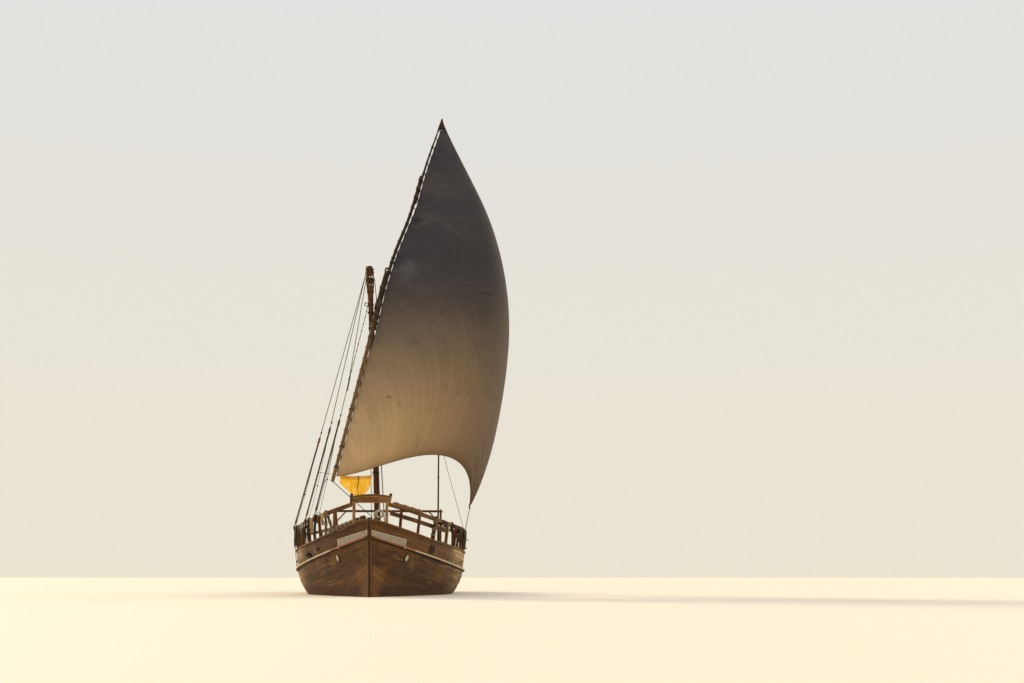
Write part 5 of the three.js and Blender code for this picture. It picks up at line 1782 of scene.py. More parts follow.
def buildSheets():
    foot = railPoint(1, -1.5, railTopAt(-1.5)) - Vector((0, 0, 0.01))
    head = Vector(sailBase(np.array([1.0]), np.array([1.0]))[0]) + Vector((-0.02, 0.02, -0.04))
    sheet = Solids(100)
    sheet.rope([head, foot], 0.019)
    made = sheet.piece("sheet_line", "tarredRope", None, "rope", ["sheet_rope"])
    return made, foot, head


def buildTack():
    foot = railPoint(1, 11.04, capHighAt(11.04) + 0.02)
    head = yardPoint(0.004, 0) + Vector((0.04, 0.02, -0.11))
    tack = Solids(101)
    tack.rope([head, foot], 0.019)
    return tack.piece("tack_line", "tarredRope", None, "rope", ["tack_rope"]), foot, head


def buildStay():
    stay = Solids(102)
    foot = railPoint(1, -2.0, railTopAt(-2.0)) - Vector((0, 0, 0.01))
    stay.rope([Vector((-7.82, 2.79, 8.3)), foot], 0.0135)
    stay.piece("pole_stay_line", "tarredRope", "hull", "rope", ["pole_stay"])


# Bow: crowned crossbeam, carved boards and round eyes
bowLook = {
    "beamX": 11.65, "beamWide": 0.15, "beamHalf": 0.79, "beamShift": 0.05, "beamLow": 3.81,
    "beamHigh": 4.0, "crown": 0.08, "capHigh": 0.09,
    "postY": 0.67, "postHalf": 0.06, "postStation": 10.59,
    "boardFrom": 9.18, "boardTo": 11.31, "boardHigh": (0.29, 0.21), "boardThick": 0.014,
    "boardGap": 0.005, "frame": 0.03, "frameRaise": 0.014,
    "eyeStation": 8.95, "eyeZ": 1.6, "eyeRadius": 0.17,
}


def buildCrossbeam():
    look = bowLook
    beam = Solids(110)
    shares = [k / 5 for k in range(-5, 6)]
    ys = [look["beamShift"] + share * look["beamHalf"] for share in shares]
    crown = [look["crown"] * (1 - share ** 2) for share in shares]
    middle = (look["beamLow"] + look["beamHigh"]) / 2
    path = [Vector((look["beamX"], y, middle + rise / 2)) for y, rise in zip(ys, crown)]
    deep = [look["beamHigh"] - look["beamLow"] + rise for rise in crown]
    beam.beam(path, look["beamWide"] - 0.02, deep, ease=0.012)
    footZ = waleAt(look["postStation"]) + capHighAt(look["postStation"]) - 0.03
    for side in sides.values():
        foot = Vector((look["beamX"], side * look["postY"], footZ))
        head = Vector((look["beamX"], side * look["postY"], look["beamLow"] + 0.02))
        beam.beam([foot, head], look["postHalf"] * 2, look["postHalf"] * 2, (1, 0, 0), 0.01)
    beam.piece("bow_beam_timbers", "beamWood", "hull", "upperworks", ["bow_crossbeam"])
    cap = Solids(111)
    path = [Vector((look["beamX"], y, look["beamHigh"] + rise + look["capHigh"] / 2))
            for y, rise in zip(ys, crown)]
    cap.beam(path, look["beamWide"], look["capHigh"], ease=0.015)
    cap.piece("bow_beam_cap", "upperworks", "hull", "upperworks")


def boardEdges(s):
    # Lowest and highest edge of the carved board
    look = bowLook
    low = waleAt(s) + upperLook["waleHigh"] + 0.0005
    share = (s - look["boardFrom"]) / (look["boardTo"] - look["boardFrom"])
    return low, low + lerp(*look["boardHigh"], share)


def buildCarvedBoards():
    look = bowLook
    for label, side in sides.items():
        board = Solids(114 + side)
        near, far = look["boardGap"], look["boardGap"] + look["boardThick"]

        def panel(s):
            low, high = boardEdges(s)
            return [(near, low), (far, low), (far, high), (near, high)]

        hullStrip(board, side, look["boardFrom"], look["boardTo"], panel, 0.004, 0.15)
        board.wear = [0.0] * len(board.wear)
        out = far + look["frameRaise"]
        for upper in (False, True):

            def border(s, upper=upper):
                low, high = boardEdges(s)
                a, b = (high - look["frame"], high) if upper else (low, low + look["frame"])
                return [(far, a), (out, a), (out, b), (far, b)]

            hullStrip(board, side, look["boardFrom"], look["boardTo"], border, 0.004, 0.15)

        def endBar(s):
            low, high = boardEdges(s)
            return [(far, low + look["frame"]), (out, low + look["frame"]),
                    (out, high - look["frame"]), (far, high - look["frame"])]

        hullStrip(board, side, look["boardFrom"], look["boardFrom"] + look["frame"], endBar, 0.004, 0.1)
        board.piece(f"carved_plank_{label}", "carvedPaint", "hull", "carving", [f"carved_board_{label}"])


def buildEyes():
    look = bowLook
    white, dark = Solids(118), Solids(119)
    for side in sides.values():
        s, z, r = look["eyeStation"], look["eyeZ"], look["eyeRadius"]
        middle = sidePoint(side, s, z)
        along = (sidePoint(side, s + 0.2, z) - sidePoint(side, s - 0.2, z)).normalized()
        up = (sidePoint(side, s, z + 0.15) - sidePoint(side, s, z - 0.15)).normalized()
        normal = along.cross(up) * side * -1
        if normal.y * side < 0:
            normal = -normal
        # A dark disc behind the white one, showing as a crescent forward of it: painted shadow of the eye
        dark.tube([middle - normal * 0.05, middle + normal * 0.01, middle + normal * 0.016],
                  [r, r, r * 0.96], 32)
        hub = middle - along * r * 0.24
        white.tube([hub - normal * 0.03, hub + normal * 0.022, hub + normal * 0.029],
                   [r * 0.76, r * 0.76, r * 0.7], 32, wear=0.9)
        ring = ringOf(hub + normal * 0.028, along * r * 0.6, up * r * 0.6, 48)
        white.tube(ring, 0.01, 8, closed=True, wear=0.5)
        white.tube([hub + normal * 0.02, hub + normal * 0.034, hub + normal * 0.038],
                   [r * 0.26, r * 0.26, r * 0.2], 20, wear=0.35)
    white.piece("bow_eye_whites", "carvedPaint", "hull", "carving", ["bow_eye_port", "bow_eye_starboard"])
    dark.piece("bow_eye_discs", "darkJointAndShade", "hull", "carving")


# Keel, stem and stern
backboneLook = {
    "fore": 0.09, "full": 1.0, "headZ": 3.19, "deep": 0.23, "keelZ": -1.78, "keelFore": 8.5003,
    "stations": (8.5003, 9.3, 10.0, 10.55, 10.95, 11.1, 11.22), "forefoot": (9.7, 10.6), "scarf": 0.003,
    "transomThick": 0.09, "crown": 0.42, "boardHigh": 0.19, "postDeep": 0.2,
    "strapLong": 0.62, "strapHigh": 0.07, "strapThick": 0.009, "pintles": (-1.15, 0.15, 1.45),
}


def stemLine(z, out):
    return Vector((hull["stemX"] + hull["stemRake"] * z + out, 0, z))


def stemRing(inner, outer, half):
    way = outer - inner
    flat, wear = eased([(0, -0.11), (way.length, -half), (way.length, half), (0, 0.11)], 0.012, 0.035)
    return [inner + way.normalized() * d + Vector((0, y, 0)) for d, y in flat], wear


def buildStem():
    look = backboneLook
    marks = [Vector((look["keelFore"], 0, look["keelZ"])),
             Vector((look["forefoot"][0], 0, look["keelZ"] + 0.09)),
             Vector((look["forefoot"][1], 0, look["keelZ"] + 0.48)), stemLine(-0.7, look["deep"])]
    pairs = []
    last = len(look["stations"]) - 1
    for i, s in enumerate(look["stations"]):
        z = rabbetAt(s)
        k = min(2, int(i / last * 3))
        outer = marks[k].lerp(marks[k + 1], i / last * 3 - k)
        pairs.append((place(s, 0, z), outer, lerp(0.11, look["fore"] / 2, i / last)))
    slim = look["fore"] / 2
    back = hull["stemStation"] - hull["stemX"] + 0.002
    for z in (1.0, 1.7, 2.4, look["headZ"] - 0.15):
        pairs.append((stemLine(z, back), stemLine(z, look["deep"]), slim))
    pairs.append((stemLine(look["headZ"], back), stemLine(look["headZ"], look["deep"] - 0.13), slim))
    stem = Solids(120)
    for first, final in ((0, last), (last, len(pairs) - 1)):
        rings = [stemRing(*pair) for pair in pairs[first:final + 1]]
        stem.loft([ring for ring, _ in rings], rings[0][1], ease=look["scarf"])
    stem.piece("stem_timbers", "stemWood", "hull", "backbone", ["stem_post"])
    edge = Solids(140)
    run = [pairs[0][1], *[outer + Vector((0.006, 0, -0.003)) for _, outer, _ in pairs[1:-1]]]
    edge.beam(run, [0.16, 0.13, 0.1, 0.08] + [0.074] * (len(run) - 4), 0.026, (0, 1, 0), 0.006)
    edge.piece("stem_edge", "darkJointAndShade", "hull", "backbone")


def transomHalf(z):
    high = waleAt(hull["transomX"]) + bulwarkTopAt(hull["transomX"])
    if z <= high:
        return halfAt(hull["transomX"], z)
    rise = min(1.0, (z - high) / backboneLook["crown"])
    return halfAt(hull["transomX"], high) * math.sqrt(1 - rise)


def transomPoint(y, z, out):
    return Vector((hull["transomX"] + hull["transomRake"] * z - out, y, z))


def buildTransom():
    look = backboneLook
    low = rabbetAt(hull["transomX"]) + 0.02
    high = waleAt(hull["transomX"]) + bulwarkTopAt(hull["transomX"])
    top = high + look["crown"] - 0.06
    boards = Solids(121)
    count = round((top - low) / look["boardHigh"])
    for k in range(count):
        a, b = lerp(low, top, k / count) + 0.003, lerp(low, top, (k + 1) / count) - 0.003
        flat, wear = eased([(0.001, a), (0.001, b), (look["transomThick"], b), (look["transomThick"], a)],
                           0.006, 0.03)
        rings = [[transomPoint(share * max(0.11, transomHalf(z)), z, out) for out, z in flat]
                 for share in (-1, -0.6, -0.2, 0.2, 0.6, 1)]
        boards.loft(rings, wear)
    boards.piece("transom_boards", "topside", "hull", "planking", ["transom"])
    rim = Solids(122)
    half = halfAt(hull["transomX"], high)
    shares = [k / 10 for k in range(-10, 11)]
    path = [transomPoint(half * share, high + look["crown"] * (1 - share ** 2) - 0.05,
                         look["transomThick"] / 2) for share in shares]
    rim.beam(path, look["transomThick"] + 0.03, 0.1, (0, 0, 1), 0.012)
    for side in sides.values():
        heights = steps(1.0, high, 0.3)
        path = [transomPoint(side * (transomHalf(z) - 0.06), z, look["transomThick"] + 0.012)
                for z in heights]
        rim.beam(path, 0.03, 0.1, (0, 1, 0), 0.008)
    rim.piece("transom_rim", "upperworks", "hull", "planking")


rudderUp = Vector((hull["transomRake"], 0, 1)).normalized()
rudderFore = Vector((rudderUp.z, 0, -rudderUp.x))
rudderStart = Vector((hull["transomX"] - 0.29 - 0.082 * math.hypot(1, hull["transomRake"]), 0, 0))


def inRudder(x, y, z):
    return rudderStart + rudderFore * x + Vector((0, y, 0)) + rudderUp * z


def buildRudderIron():
    look = backboneLook
    straps = Solids(123)
    posts = Solids(124)
    for z in look["pintles"]:
        low = z - look["strapHigh"] - 0.012
        for side in (-1, 1):
            y = side * (0.066 + look["strapThick"] / 2)
            path = [inRudder(-x, y, low + look["strapHigh"] / 2)
                    for x in (0.02, look["strapLong"] * 0.5, look["strapLong"])]
            straps.beam(path, look["strapThick"], [look["strapHigh"], look["strapHigh"], 0.04],
                        rudderUp, 0.003)
            for x in (0.14, 0.3, 0.46):
                bolt = inRudder(-x, y, low + look["strapHigh"] / 2)
                out = Vector((0, side, 0))
                straps.tube([bolt, bolt + out * 0.01, bolt + out * 0.014], [0.014, 0.014, 0.006], 10)
            arm = [inRudder(x, side * 0.1125, z + 0.055) for x in (0.1, 0.2, 0.285)]
            posts.beam(arm, 0.008, 0.066, rudderUp, 0.003)
    straps.piece("rudder_straps", "oldIron", "steering", "iron")
    posts.piece("gudgeon_straps", "oldIron", "hull", "iron")


tillerLook = {"end": 2.5, "middle": 3.348, "rings": ((-0.43, 0.04), (-0.4, 0.047), (0.0, 0.047),
                                                     (0.3, 0.047), (1.5, 0.042), (2.38, 0.034),
                                                     (2.46, 0.032), (2.5, 0.024))}


def buildTiller():
    look = tillerLook
    bar = Solids(125)
    path, widths = [], []
    for x, half in look["rings"]:
        path.append(inRudder(x, 0, look["middle"] + min(0, 0.3 - x) * 0.1))
        widths.append(half * 2)
    bar.beam(path, widths, widths, rudderUp, 0.01)
    bar.piece("tiller_bar", "sparWood", "steering", "spar", ["tiller"])
    grip = Solids(126)
    way = (path[-2] - path[-4]).normalized()
    grip.turns(path[-3] - way * 0.12, way, 0.052, 12, 0.008)
    grip.piece("tiller_lashing", "paleRope", "steering", "rope")


# Deck fittings
fittingLook = {
    "bulkhead": (-6.45, -6.38), "bulkheadBoard": 0.2,
    "hatchAft": -3.4, "hatchFore": 0.2, "hatchHalf": 1.15, "hatchWall": 0.09, "hatchTop": 1.72,
    "hatchBoard": 0.24, "hatchBoardThick": 0.045, "battens": (-0.75, 0.0, 0.75),
    "bitts": {"fore_bitts": 8.3, "aft_bitts": -5.3}, "bittY": 0.35, "bittHalf": 0.08,
    "bittHigh": 0.95, "bittBarDown": 0.42, "bittBarDeep": 0.14, "bittBarHalf": 0.06, "bittReach": 0.62,
    "gallowsX": -8.0, "gallowsHalf": 3.0, "gallowsPostY": 2.9, "gallowsLow": 4.29,
    "gallowsHigh": 4.41, "gallowsThick": 0.12,
    "poleFoot": (-7.87, 2.76), "poleTop": 8.45, "poleRadii": (0.05, 0.038),
    "partnersX": (3.05, 3.415, 3.755, 4.15), "partnersY": (-0.42, -0.125, 0.205, 0.52),
    "partnersTop": 1.65, "wedges": 12,
}


def buildBulkhead():
    look = fittingLook
    boards = Solids(127)
    s0, s1 = look["bulkhead"]
    half = halfAt(s0, waleAt(s0) + 0.4) - 0.1
    count = round(2 * half / look["bulkheadBoard"])
    for k in range(count):
        y = lerp(-half, half, (k + 0.5) / count)
        reach = min(abs(y) + look["bulkheadBoard"] / 2, half)
        low, high = deckTop(s0, reach) - 0.01, poopTop(s0, reach) - 0.062
        foot = place((s0 + s1) / 2, y, low)
        head = place((s0 + s1) / 2, y, high)
        boards.beam([foot, head], s1 - s0, 2 * half / count - 0.006, (0, 1, 0), 0.005)
    boards.piece("poop_bulkhead_boards", "topside", "hull", "planking", ["poop_bulkhead"])


def buildHatch():
    look = fittingLook
    coaming = Solids(128)
    aft, fore, half, wall = look["hatchAft"], look["hatchFore"], look["hatchHalf"], look["hatchWall"]
    lowSide = min(deckTop(s, half) for s in (aft, -1.5, fore)) - 0.004
    for side in (-1, 1):
        coaming.box((aft, min(side * half, side * (half - wall)), lowSide),
                    (fore, max(side * half, side * (half - wall)), look["hatchTop"]), 0.01)
    for x in (aft, fore - wall):
        coaming.box((x, -half + wall + 0.001, deckTop(x, half) - 0.004),
                    (x + wall, half - wall - 0.001, look["hatchTop"] - 0.002), 0.01)
    for x in (aft, fore):
        for side in (-1, 1):
            corner = Vector((x - 0.004 * (1 if x == aft else -1), side * (half + 0.003), 1.5))
            coaming.beam([corner - Vector((0, 0, 0.16)), corner + Vector((0, 0, 0.2))], 0.05, 0.05,
                         (0, 1, 0), 0.01)
    coaming.piece("hatch_coaming_timbers", "upperworks", "hull", "upperworks", ["hatch_coaming"])
    cover = Solids(129)
    count = round((fore - aft + 0.06) / look["hatchBoard"])
    for k in range(count):
        a, b = (lerp(aft - 0.03, fore + 0.03, (k + d) / count) for d in (0, 1))
        low = look["hatchTop"] + 0.0005
        cover.box((a + 0.003, -half - 0.03, low), (b - 0.003, half + 0.03, low + look["hatchBoardThick"]),
                  0.005)
    for y in look["battens"]:
        low = look["hatchTop"] + look["hatchBoardThick"]
        cover.box((aft, y - 0.05, low), (fore, y + 0.05, low + 0.02), 0.004)
    cover.piece("hatch_boards", "deckPlank", "hull", "deck", ["hatch_cover"])


def buildBitts():
    look = fittingLook
    rope = Solids(131)
    for name, x in look["bitts"].items():
        wood = Solids(130)
        top = waleAt(x) + look["bittHigh"]
        foot = deckTop(x, look["bittY"] + look["bittHalf"]) - 0.01
        wide = look["bittHalf"] * 2
        for y in (-look["bittY"], look["bittY"]):
            wood.beam([(x, y, foot), (x, y, foot + 0.3), (x, y, top - 0.07), (x, y, top)],
                      [wide, wide, wide, wide * 0.55], [wide, wide, wide, wide * 0.55], (1, 0, 0), 0.012)
        bar = top - look["bittBarDown"] + look["bittBarDeep"] / 2
        deep = look["bittBarDeep"]
        wood.beam([(x, reach, bar) for reach in (-look["bittReach"], -0.45, 0.45, look["bittReach"])],
                  look["bittBarHalf"] * 2, [deep * 0.8, deep, deep, deep * 0.8], (0, 0, 1), 0.012)
        wood.piece(name + "_timbers", "upperworks", "hull", "upperworks", [name])
        for y, count in ((-look["bittY"], 6), (look["bittY"], 4)):
            rope.turns((x, y, bar + 0.16), (0, 0, 1), 0.118, count, 0.016)
            rope.turns((x, y + (0.17 if y > 0 else -0.17), bar), (0, 1, 0), 0.1, 4, 0.016)
    rope.piece("bitts_ropes", "paleRope", "hull", "rope")


def buildGallows():
    look = fittingLook
    wood = Solids(132)
    x, thick = look["gallowsX"], look["gallowsThick"]
    middle = (look["gallowsLow"] + look["gallowsHigh"]) / 2
    wood.beam([(x, y, middle) for y in (-look["gallowsHalf"], -1.5, 0, 1.5, look["gallowsHalf"])],
              thick, thick, (0, 0, 1), 0.012)
    for side in (-1, 1):
        y = side * look["gallowsPostY"]
        foot = poopTop(x, 2.9) - 0.03
        wood.beam([(x, y, foot), (x, y, look["gallowsLow"] + 0.01)], thick, thick, (1, 0, 0), 0.012)
        wood.beam([(x + 0.02, y - side * 0.05, look["gallowsLow"] - 0.62),
                   (x + 0.02, y - side * 0.62, look["gallowsLow"] + 0.02)], 0.07, 0.07, (1, 0, 0), 0.01)
    wood.piece("gallows_timbers", "upperworks", "hull", "upperworks", ["aft_gallows"])
    pole = Solids(133)
    px, py = look["poleFoot"]
    foot = poopTop(px, py) - 0.02
    heights = steps(foot, look["poleTop"], 0.8)
    radii = [lerp(*look["poleRadii"], (z - foot) / (look["poleTop"] - foot)) for z in heights]
    pole.tube([(px, py, z) for z in heights], radii, 18, ease=0.012)
    pole.piece("awning_pole_spar", "sparWood", "hull", "spar", ["awning_pole"])
    bands = Solids(134)
    for z, count in ((4.35, 6), (8.3, 5), (6.2, 3)):
        bands.turns((px, py, z), (0, 0, 1), 0.058, count, 0.011)
    for side in (-1, 1):
        bands.turns((x, side * look["gallowsPostY"], middle), (0, 1, 0), 0.1, 4, 0.012)
    bands.piece("gallows_lashings", "paleRope", "hull", "rope")


def buildPartners():
    look = fittingLook
    wood = Solids(135)
    x0, x1, x2, x3 = look["partnersX"]
    y0, y1, y2, y3 = look["partnersY"]
    top = look["partnersTop"]

    def low(y):
        return deckTop(3.6, y) - 0.02

    wood.box((x0, y0, low(y0)), (x3, y1 - 0.001, top), 0.014)
    wood.box((x0, y2 + 0.001, low(y3)), (x3, y3, top), 0.014)
    wood.box((x0, y1 + 0.001, low(0)), (x1, y2 - 0.001, top - 0.004), 0.012)
    wood.box((x2, y1 + 0.001, low(0)), (x3, y2 - 0.001, top - 0.004), 0.012)
    wood.piece("mast_partner_timbers", "backbone", "hull", "backbone", ["mast_partners"])
    wedges = Solids(136)
    for k in range(look["wedges"]):
        angle = 2 * math.pi * k / look["wedges"]
        out = Vector((math.cos(angle), math.sin(angle), 0))
        foot = mastAt(1.5) + out * (mastRadius(1.5) + 0.006)
        head = mastAt(1.69) + out * (mastRadius(1.69) + 0.02)
        wedges.beam([foot, head], [0.065, 0.07], [0.012, 0.04], out, 0.004)
    wedges.piece("mast_wedges", "deckPlank", "hull", "backbone")


# Yellow cloth hung over a line between the mast and a shroud
hungLook = {
    "x": 4.25, "near": -0.32, "far": -1.78, "top": 5.45, "drop": 0.93, "back": 0.16, "rows": 44,
    "columns": 96, "fold": 0.034, "folds": 7, "thick": 0.003, "sag": 0.05,
    "edgeAt": (0.0, 0.08, 0.16, 0.35, 0.5, 0.62, 0.76, 1.0),
    "edgeDrop": (0.45, 0.66, 0.82, 1.0, 0.99, 0.92, 0.7, 0.4), "tie": -0.93,
}


def buildHungCloth():
    look = hungLook
    lineStart = mastAt(5.6) + Vector((0, -mastRadius(5.6) - 0.01, 0))
    block = Vector(shroudLook["shroud_middle"]["block"])
    foot = outsidePoint(-1, 5.7, railTopAt(5.7), 0.06)
    shroudEnd = block.lerp(foot, (block.z - 5.5) / (block.z - foot.z))
    line = Solids(137)

    def lineAt(y):
        share = (look["near"] - y) / (look["near"] - look["far"])
        return Vector((look["x"], y, look["top"] - look["sag"] * 4 * share * (1 - share)))

    inner = [lineAt(lerp(look["near"], look["far"], k / 12)) for k in range(13)]
    line.rope([lineStart, *inner, shroudEnd], 0.011)
    line.turns(mastAt(5.6), mastAxis, mastRadius(5.6) + 0.012, 3, 0.011)
    line.turns(shroudEnd, (0.04, -0.2, -1), 0.035, 4, 0.01)
    top = lineAt(look["tie"])
    fall = [top + Vector(p) for p in ((0.0, 0.0, 0.03), (0.06, 0.0, 0.0), (0.085, 0.01, -0.2),
                                      (0.088, -0.03, -0.5), (0.086, 0.0, -0.78), (0.09, -0.02, -0.98))]
    line.rope(curved(fall, 8), 0.02)
    line.turns(fall[-1], (0, 0, 1), 0.026, 3, 0.013)
    line.piece("hanging_cloth_line", "tarredRope", "hull", "rope")
    down, across = np.meshgrid(np.linspace(0, 1, look["rows"]), np.linspace(0, 1, look["columns"]),
                               indexing="ij")
    y = look["near"] + (look["far"] - look["near"]) * across
    crest = look["top"] - look["sag"] * 4 * across * (1 - across) + 0.013
    shape = np.interp(across, look["edgeAt"], look["edgeDrop"])
    whole = look["back"] + look["drop"] * (shape + 0.02 * np.sin(9 * across))
    run = down * whole
    over = np.clip((run - look["back"]) / 0.016, -1, 1)
    z = crest - np.abs(run - look["back"])
    hang = np.clip((run - look["back"]) / look["drop"], 0, 1)
    hang = hang * np.clip(shape, 0.4, 1)
    phase = across * look["folds"] * 2 * np.pi
    wave = np.sin(phase + 0.8 * np.sin(phase * 0.43 + 1.0)) + 0.4 * np.sin(phase * 2.3 + 2.0)
    x = look["x"] + 0.0145 * over + np.where(over > 0, 1, 0.3) * look["fold"] * wave * hang ** 0.7
    y = y + 0.012 * np.cos(phase * 1.3) * hang
    front = np.stack([x, y, z], -1)
    alongRow = np.gradient(front, axis=1)
    alongDown = np.gradient(front, axis=0)
    normals = np.cross(alongDown, alongRow)
    normals /= np.linalg.norm(normals, axis=-1, keepdims=True)
    cloth = clothPiece("hung_cloth", "awningCloth", "hull", front, normals, look["thick"],
                       ["hanging_cloth"])


# Gear along the rails, as the photo shows it
gearLook = {
    "bundleFrom": 8.3, "bundleTo": 11.0, "bundleRadius": 0.1,
    "drapes": (
        # side, station from and to, how far it hangs outside and inside, color
        ("port", 0.3, 2.1, 0.85, 0.35, "drabCloth"), ("port", 2.3, 3.5, 0.75, 0.3, "drabCloth"),
        ("port", 3.8, 4.4, 0.6, 0.3, "wineCloth"), ("port", 5.5, 6.1, 0.3, 0.2, "drabCloth"),
        ("starboard", 0.8, 1.6, 0.7, 0.3, "drabCloth"), ("starboard", 2.2, 2.8, 0.75, 0.3, "paleCloth"),
        ("starboard", 3.3, 4.1, 0.8, 0.3, "drabCloth"), ("starboard", 4.7, 5.4, 0.7, 0.25, "drabCloth"),
        ("starboard", 6.3, 6.8, 0.62, 0.25, "paleCloth"), ("starboard", 7.75, 8.15, 0.5, 0.2, "paleCloth"),
    ),
    "festoon": ((8.2, 0.08), (9.1, 0.14), (10.2, 0.07), (10.75, 0.03), (11.02, 0.0)),
    "logFrom": 8.45, "logTo": 10.25, "logRadius": 0.1,
    "props": (
        # side, station of its foot and of its head, radius
        ("starboard", 8.15, 8.42, 0.05), ("starboard", 8.8, 8.5, 0.05), ("port", 7.0, 7.02, 0.085),
    ),
    "heap": (11.6, 0.37, 3.36),
    "heapTurns": 12, "heapRope": 0.019,
    "strops": (4.5, 4.95, 5.5, 5.95),
    "coilTurns": 7, "coilHang": 0.42, "coilRope": 0.013, "hungCoilAt": 6.95, "rolledCoilAt": 5.9,
    "cleatAt": 9.33,
    "coils": (("starboard", 6.05), ("starboard", 5.55), ("starboard", 2.95), ("starboard", 1.9),
              ("starboard", 7.1), ("port", 4.75)),
    "scuppers": (("port", 4.1, 0.14, 0.04), ("port", 4.9, 0.14, 0.04), ("port", 3.3, 0.14, 0.04),
                 ("starboard", 3.3, 0.14, 0.035), ("starboard", 7.75, -0.28, 0.07)),
    "pegs": (("port", -0.2, 1.42), ("port", 0.6, 0.98), ("starboard", 0.1, 1.4)),
}


def alongRail(side, station):
    return (railPoint(side, station + 0.1, 1.7) - railPoint(side, station - 0.1, 1.7)).normalized()


def railDrape(number, side, start, end, outside, inside, material):
    # A cloth folded over the open rail, with soft folds that deepen downward
    rows, columns = 40, max(24, int((end - start) * 40))
    chance = random.Random(200 + number)
    turns = (end - start) * chance.uniform(3.2, 4.4) * 2 * math.pi
    shift = chance.uniform(0, 6)
    wide = upperLook["railWide"]
    corners = np.array([(-wide - 0.022, -inside), (-wide - 0.02, -0.01), (-wide + 0.01, 0.012),
                        (-0.01, 0.012), (0.02, -0.01), (0.024, -outside)])
    run = np.concatenate([[0], np.cumsum(np.linalg.norm(np.diff(corners, axis=0), axis=1))])
    front = np.zeros((rows, columns, 3))
    for j in range(columns):
        share = j / (columns - 1)
        station = lerp(start, end, share)
        cut = 1 + 0.05 * math.sin(7 * share + shift)
        top = waleAt(station) + railTopAt(station)
        for i in range(rows):
            d = run[-1] * i / (rows - 1)
            out, rise = (float(np.interp(d, run, corners[:, k])) for k in (0, 1))
            low = max(0.0, -rise - 0.03)
            rise = rise * cut if rise < 0 else rise
            fold = 0.028 * math.sin(turns * share + shift + 0.6 * math.sin(3 * low)) + 0.009
            out += (1 if out > -wide / 2 else -1) * max(-0.006, fold) * min(1, low / 0.35)
            pinch = (share - 0.5) * 0.16 * min(1, low / 0.5)
            point = sidePoint(side, station - pinch * (end - start), top + rise, out)
            front[i, j] = tuple(point)
    normals = np.cross(np.gradient(front, axis=0), np.gradient(front, axis=1))
    normals /= np.linalg.norm(normals, axis=-1, keepdims=True)
    name = f"rail_cloth_{number}"
    cloth = clothPiece(name, material, "hull", front, normals, 0.004)


def lumpyBundle(solids, points, radius, seed, wear=0.4):
    # A rolled cloth or a tied bundle: a soft tube with uneven girth
    chance = random.Random(seed)
    path = resampled([Vector(p) for p in points], 0.05)
    radii = []
    for i in range(len(path)):
        end = min(i, len(path) - 1 - i) * 0.05
        swell = 1 + 0.05 * math.sin(i * 0.4 + seed) + chance.uniform(-0.025, 0.025)
        radii.append(radius * min(1, 0.45 + end / 0.1) * swell)
    solids.tube(path, radii, 18, ease=0.01, wear=wear)
    return path


def buildDrapes():
    for number, (label, start, end, outside, inside, material) in enumerate(gearLook["drapes"], 1):
        railDrape(number, sides[label], start, end, outside, inside, material)


def onCap(side, s, rise, out):
    return sidePoint(side, s, waleAt(s) + capHighAt(s) + rise, out)


def buildCapBundle():
    look = gearLook
    bundle, ties = Solids(150), Solids(151)
    r = look["bundleRadius"]
    line = [onCap(-1, s, r * 0.85, -min(0.09, waleHalf(s) * 0.3))
            for s in steps(look["bundleFrom"], look["bundleTo"], 0.3)]
    path = lumpyBundle(bundle, line, r, 5)
    for k in range(4, len(path) - 2, 9):
        ties.turns(path[k], path[k + 1] - path[k], r * 1.12, 2, 0.011)
    bundle.piece("cap_spar_bundle", "stemWood", "hull", "upperworks")
    ties.piece("bundle_ties", "whiteRope", "hull", "rope")


def buildLogAndProps():
    look = gearLook
    log, r = Solids(152), look["logRadius"]
    line = [railPoint(1, s, railTopAt(s) - 0.06, -r - 0.004)
            for s in steps(look["logFrom"], look["logTo"], 0.25)]
    path = lumpyBundle(log, line, r, 9, 0.35)
    log.piece("rail_spare_log", "beamWood", "hull", "upperworks")
    lash = Solids(162)
    for k in range(5, len(path) - 2, 13):
        lash.turns(path[k], path[k + 1] - path[k], r * 1.1, 3, 0.013)
    props = Solids(163)
    for label, foot, head, r in look["props"]:
        side = sides[label]
        low = onCap(side, foot, 0.0, 0.0)
        high = railPoint(side, head, railTopAt(head) + 0.02, -0.01 - r)
        props.tube([low.lerp(high, k / 5) for k in range(6)],
                   [r * share for share in (1.0, 1.04, 0.95, 1.0, 0.92, 0.86)], 14, ease=0.008)
        for share, count in ((0.2, 4), (0.45, 7), (0.8, 9)):
            lash.turns(low.lerp(high, share), high - low, r + 0.014, count, 0.013)
    props.piece("rail_props", "upperworks", "hull", "upperworks")
    lash.piece("rail_lashings", "paleRope", "hull", "rope")


def buildBowCoil():
    heap = Solids(164)
    at, chance = Vector(gearLook["heap"]), random.Random(31)
    for k in range(gearLook["heapTurns"]):
        center = at + Vector((0.012 * k - 0.06, chance.uniform(-0.05, 0.05), chance.uniform(-0.02, 0.02)))
        wide, tall = chance.uniform(0.13, 0.2), chance.uniform(0.12, 0.16)
        heap.rope([center + Vector((0.02 * math.cos(2 * a), math.cos(a) * wide, math.sin(a) * tall))
                   for a in (2 * math.pi * i / 40 for i in range(40))], gearLook["heapRope"], closed=True)
    for reach in (-0.02, 0.02):
        heap.rope([at + Vector((reach * 2, reach, 0.1)), at + Vector((reach * 2, reach, 0.47))], 0.014)
    heap.turns(at + Vector((0, 0, 0.15)), (0, 1, 0), 0.05, 4, 0.014)
    heap.piece("bow_rope_coil", "whiteRope", "hull", "rope")


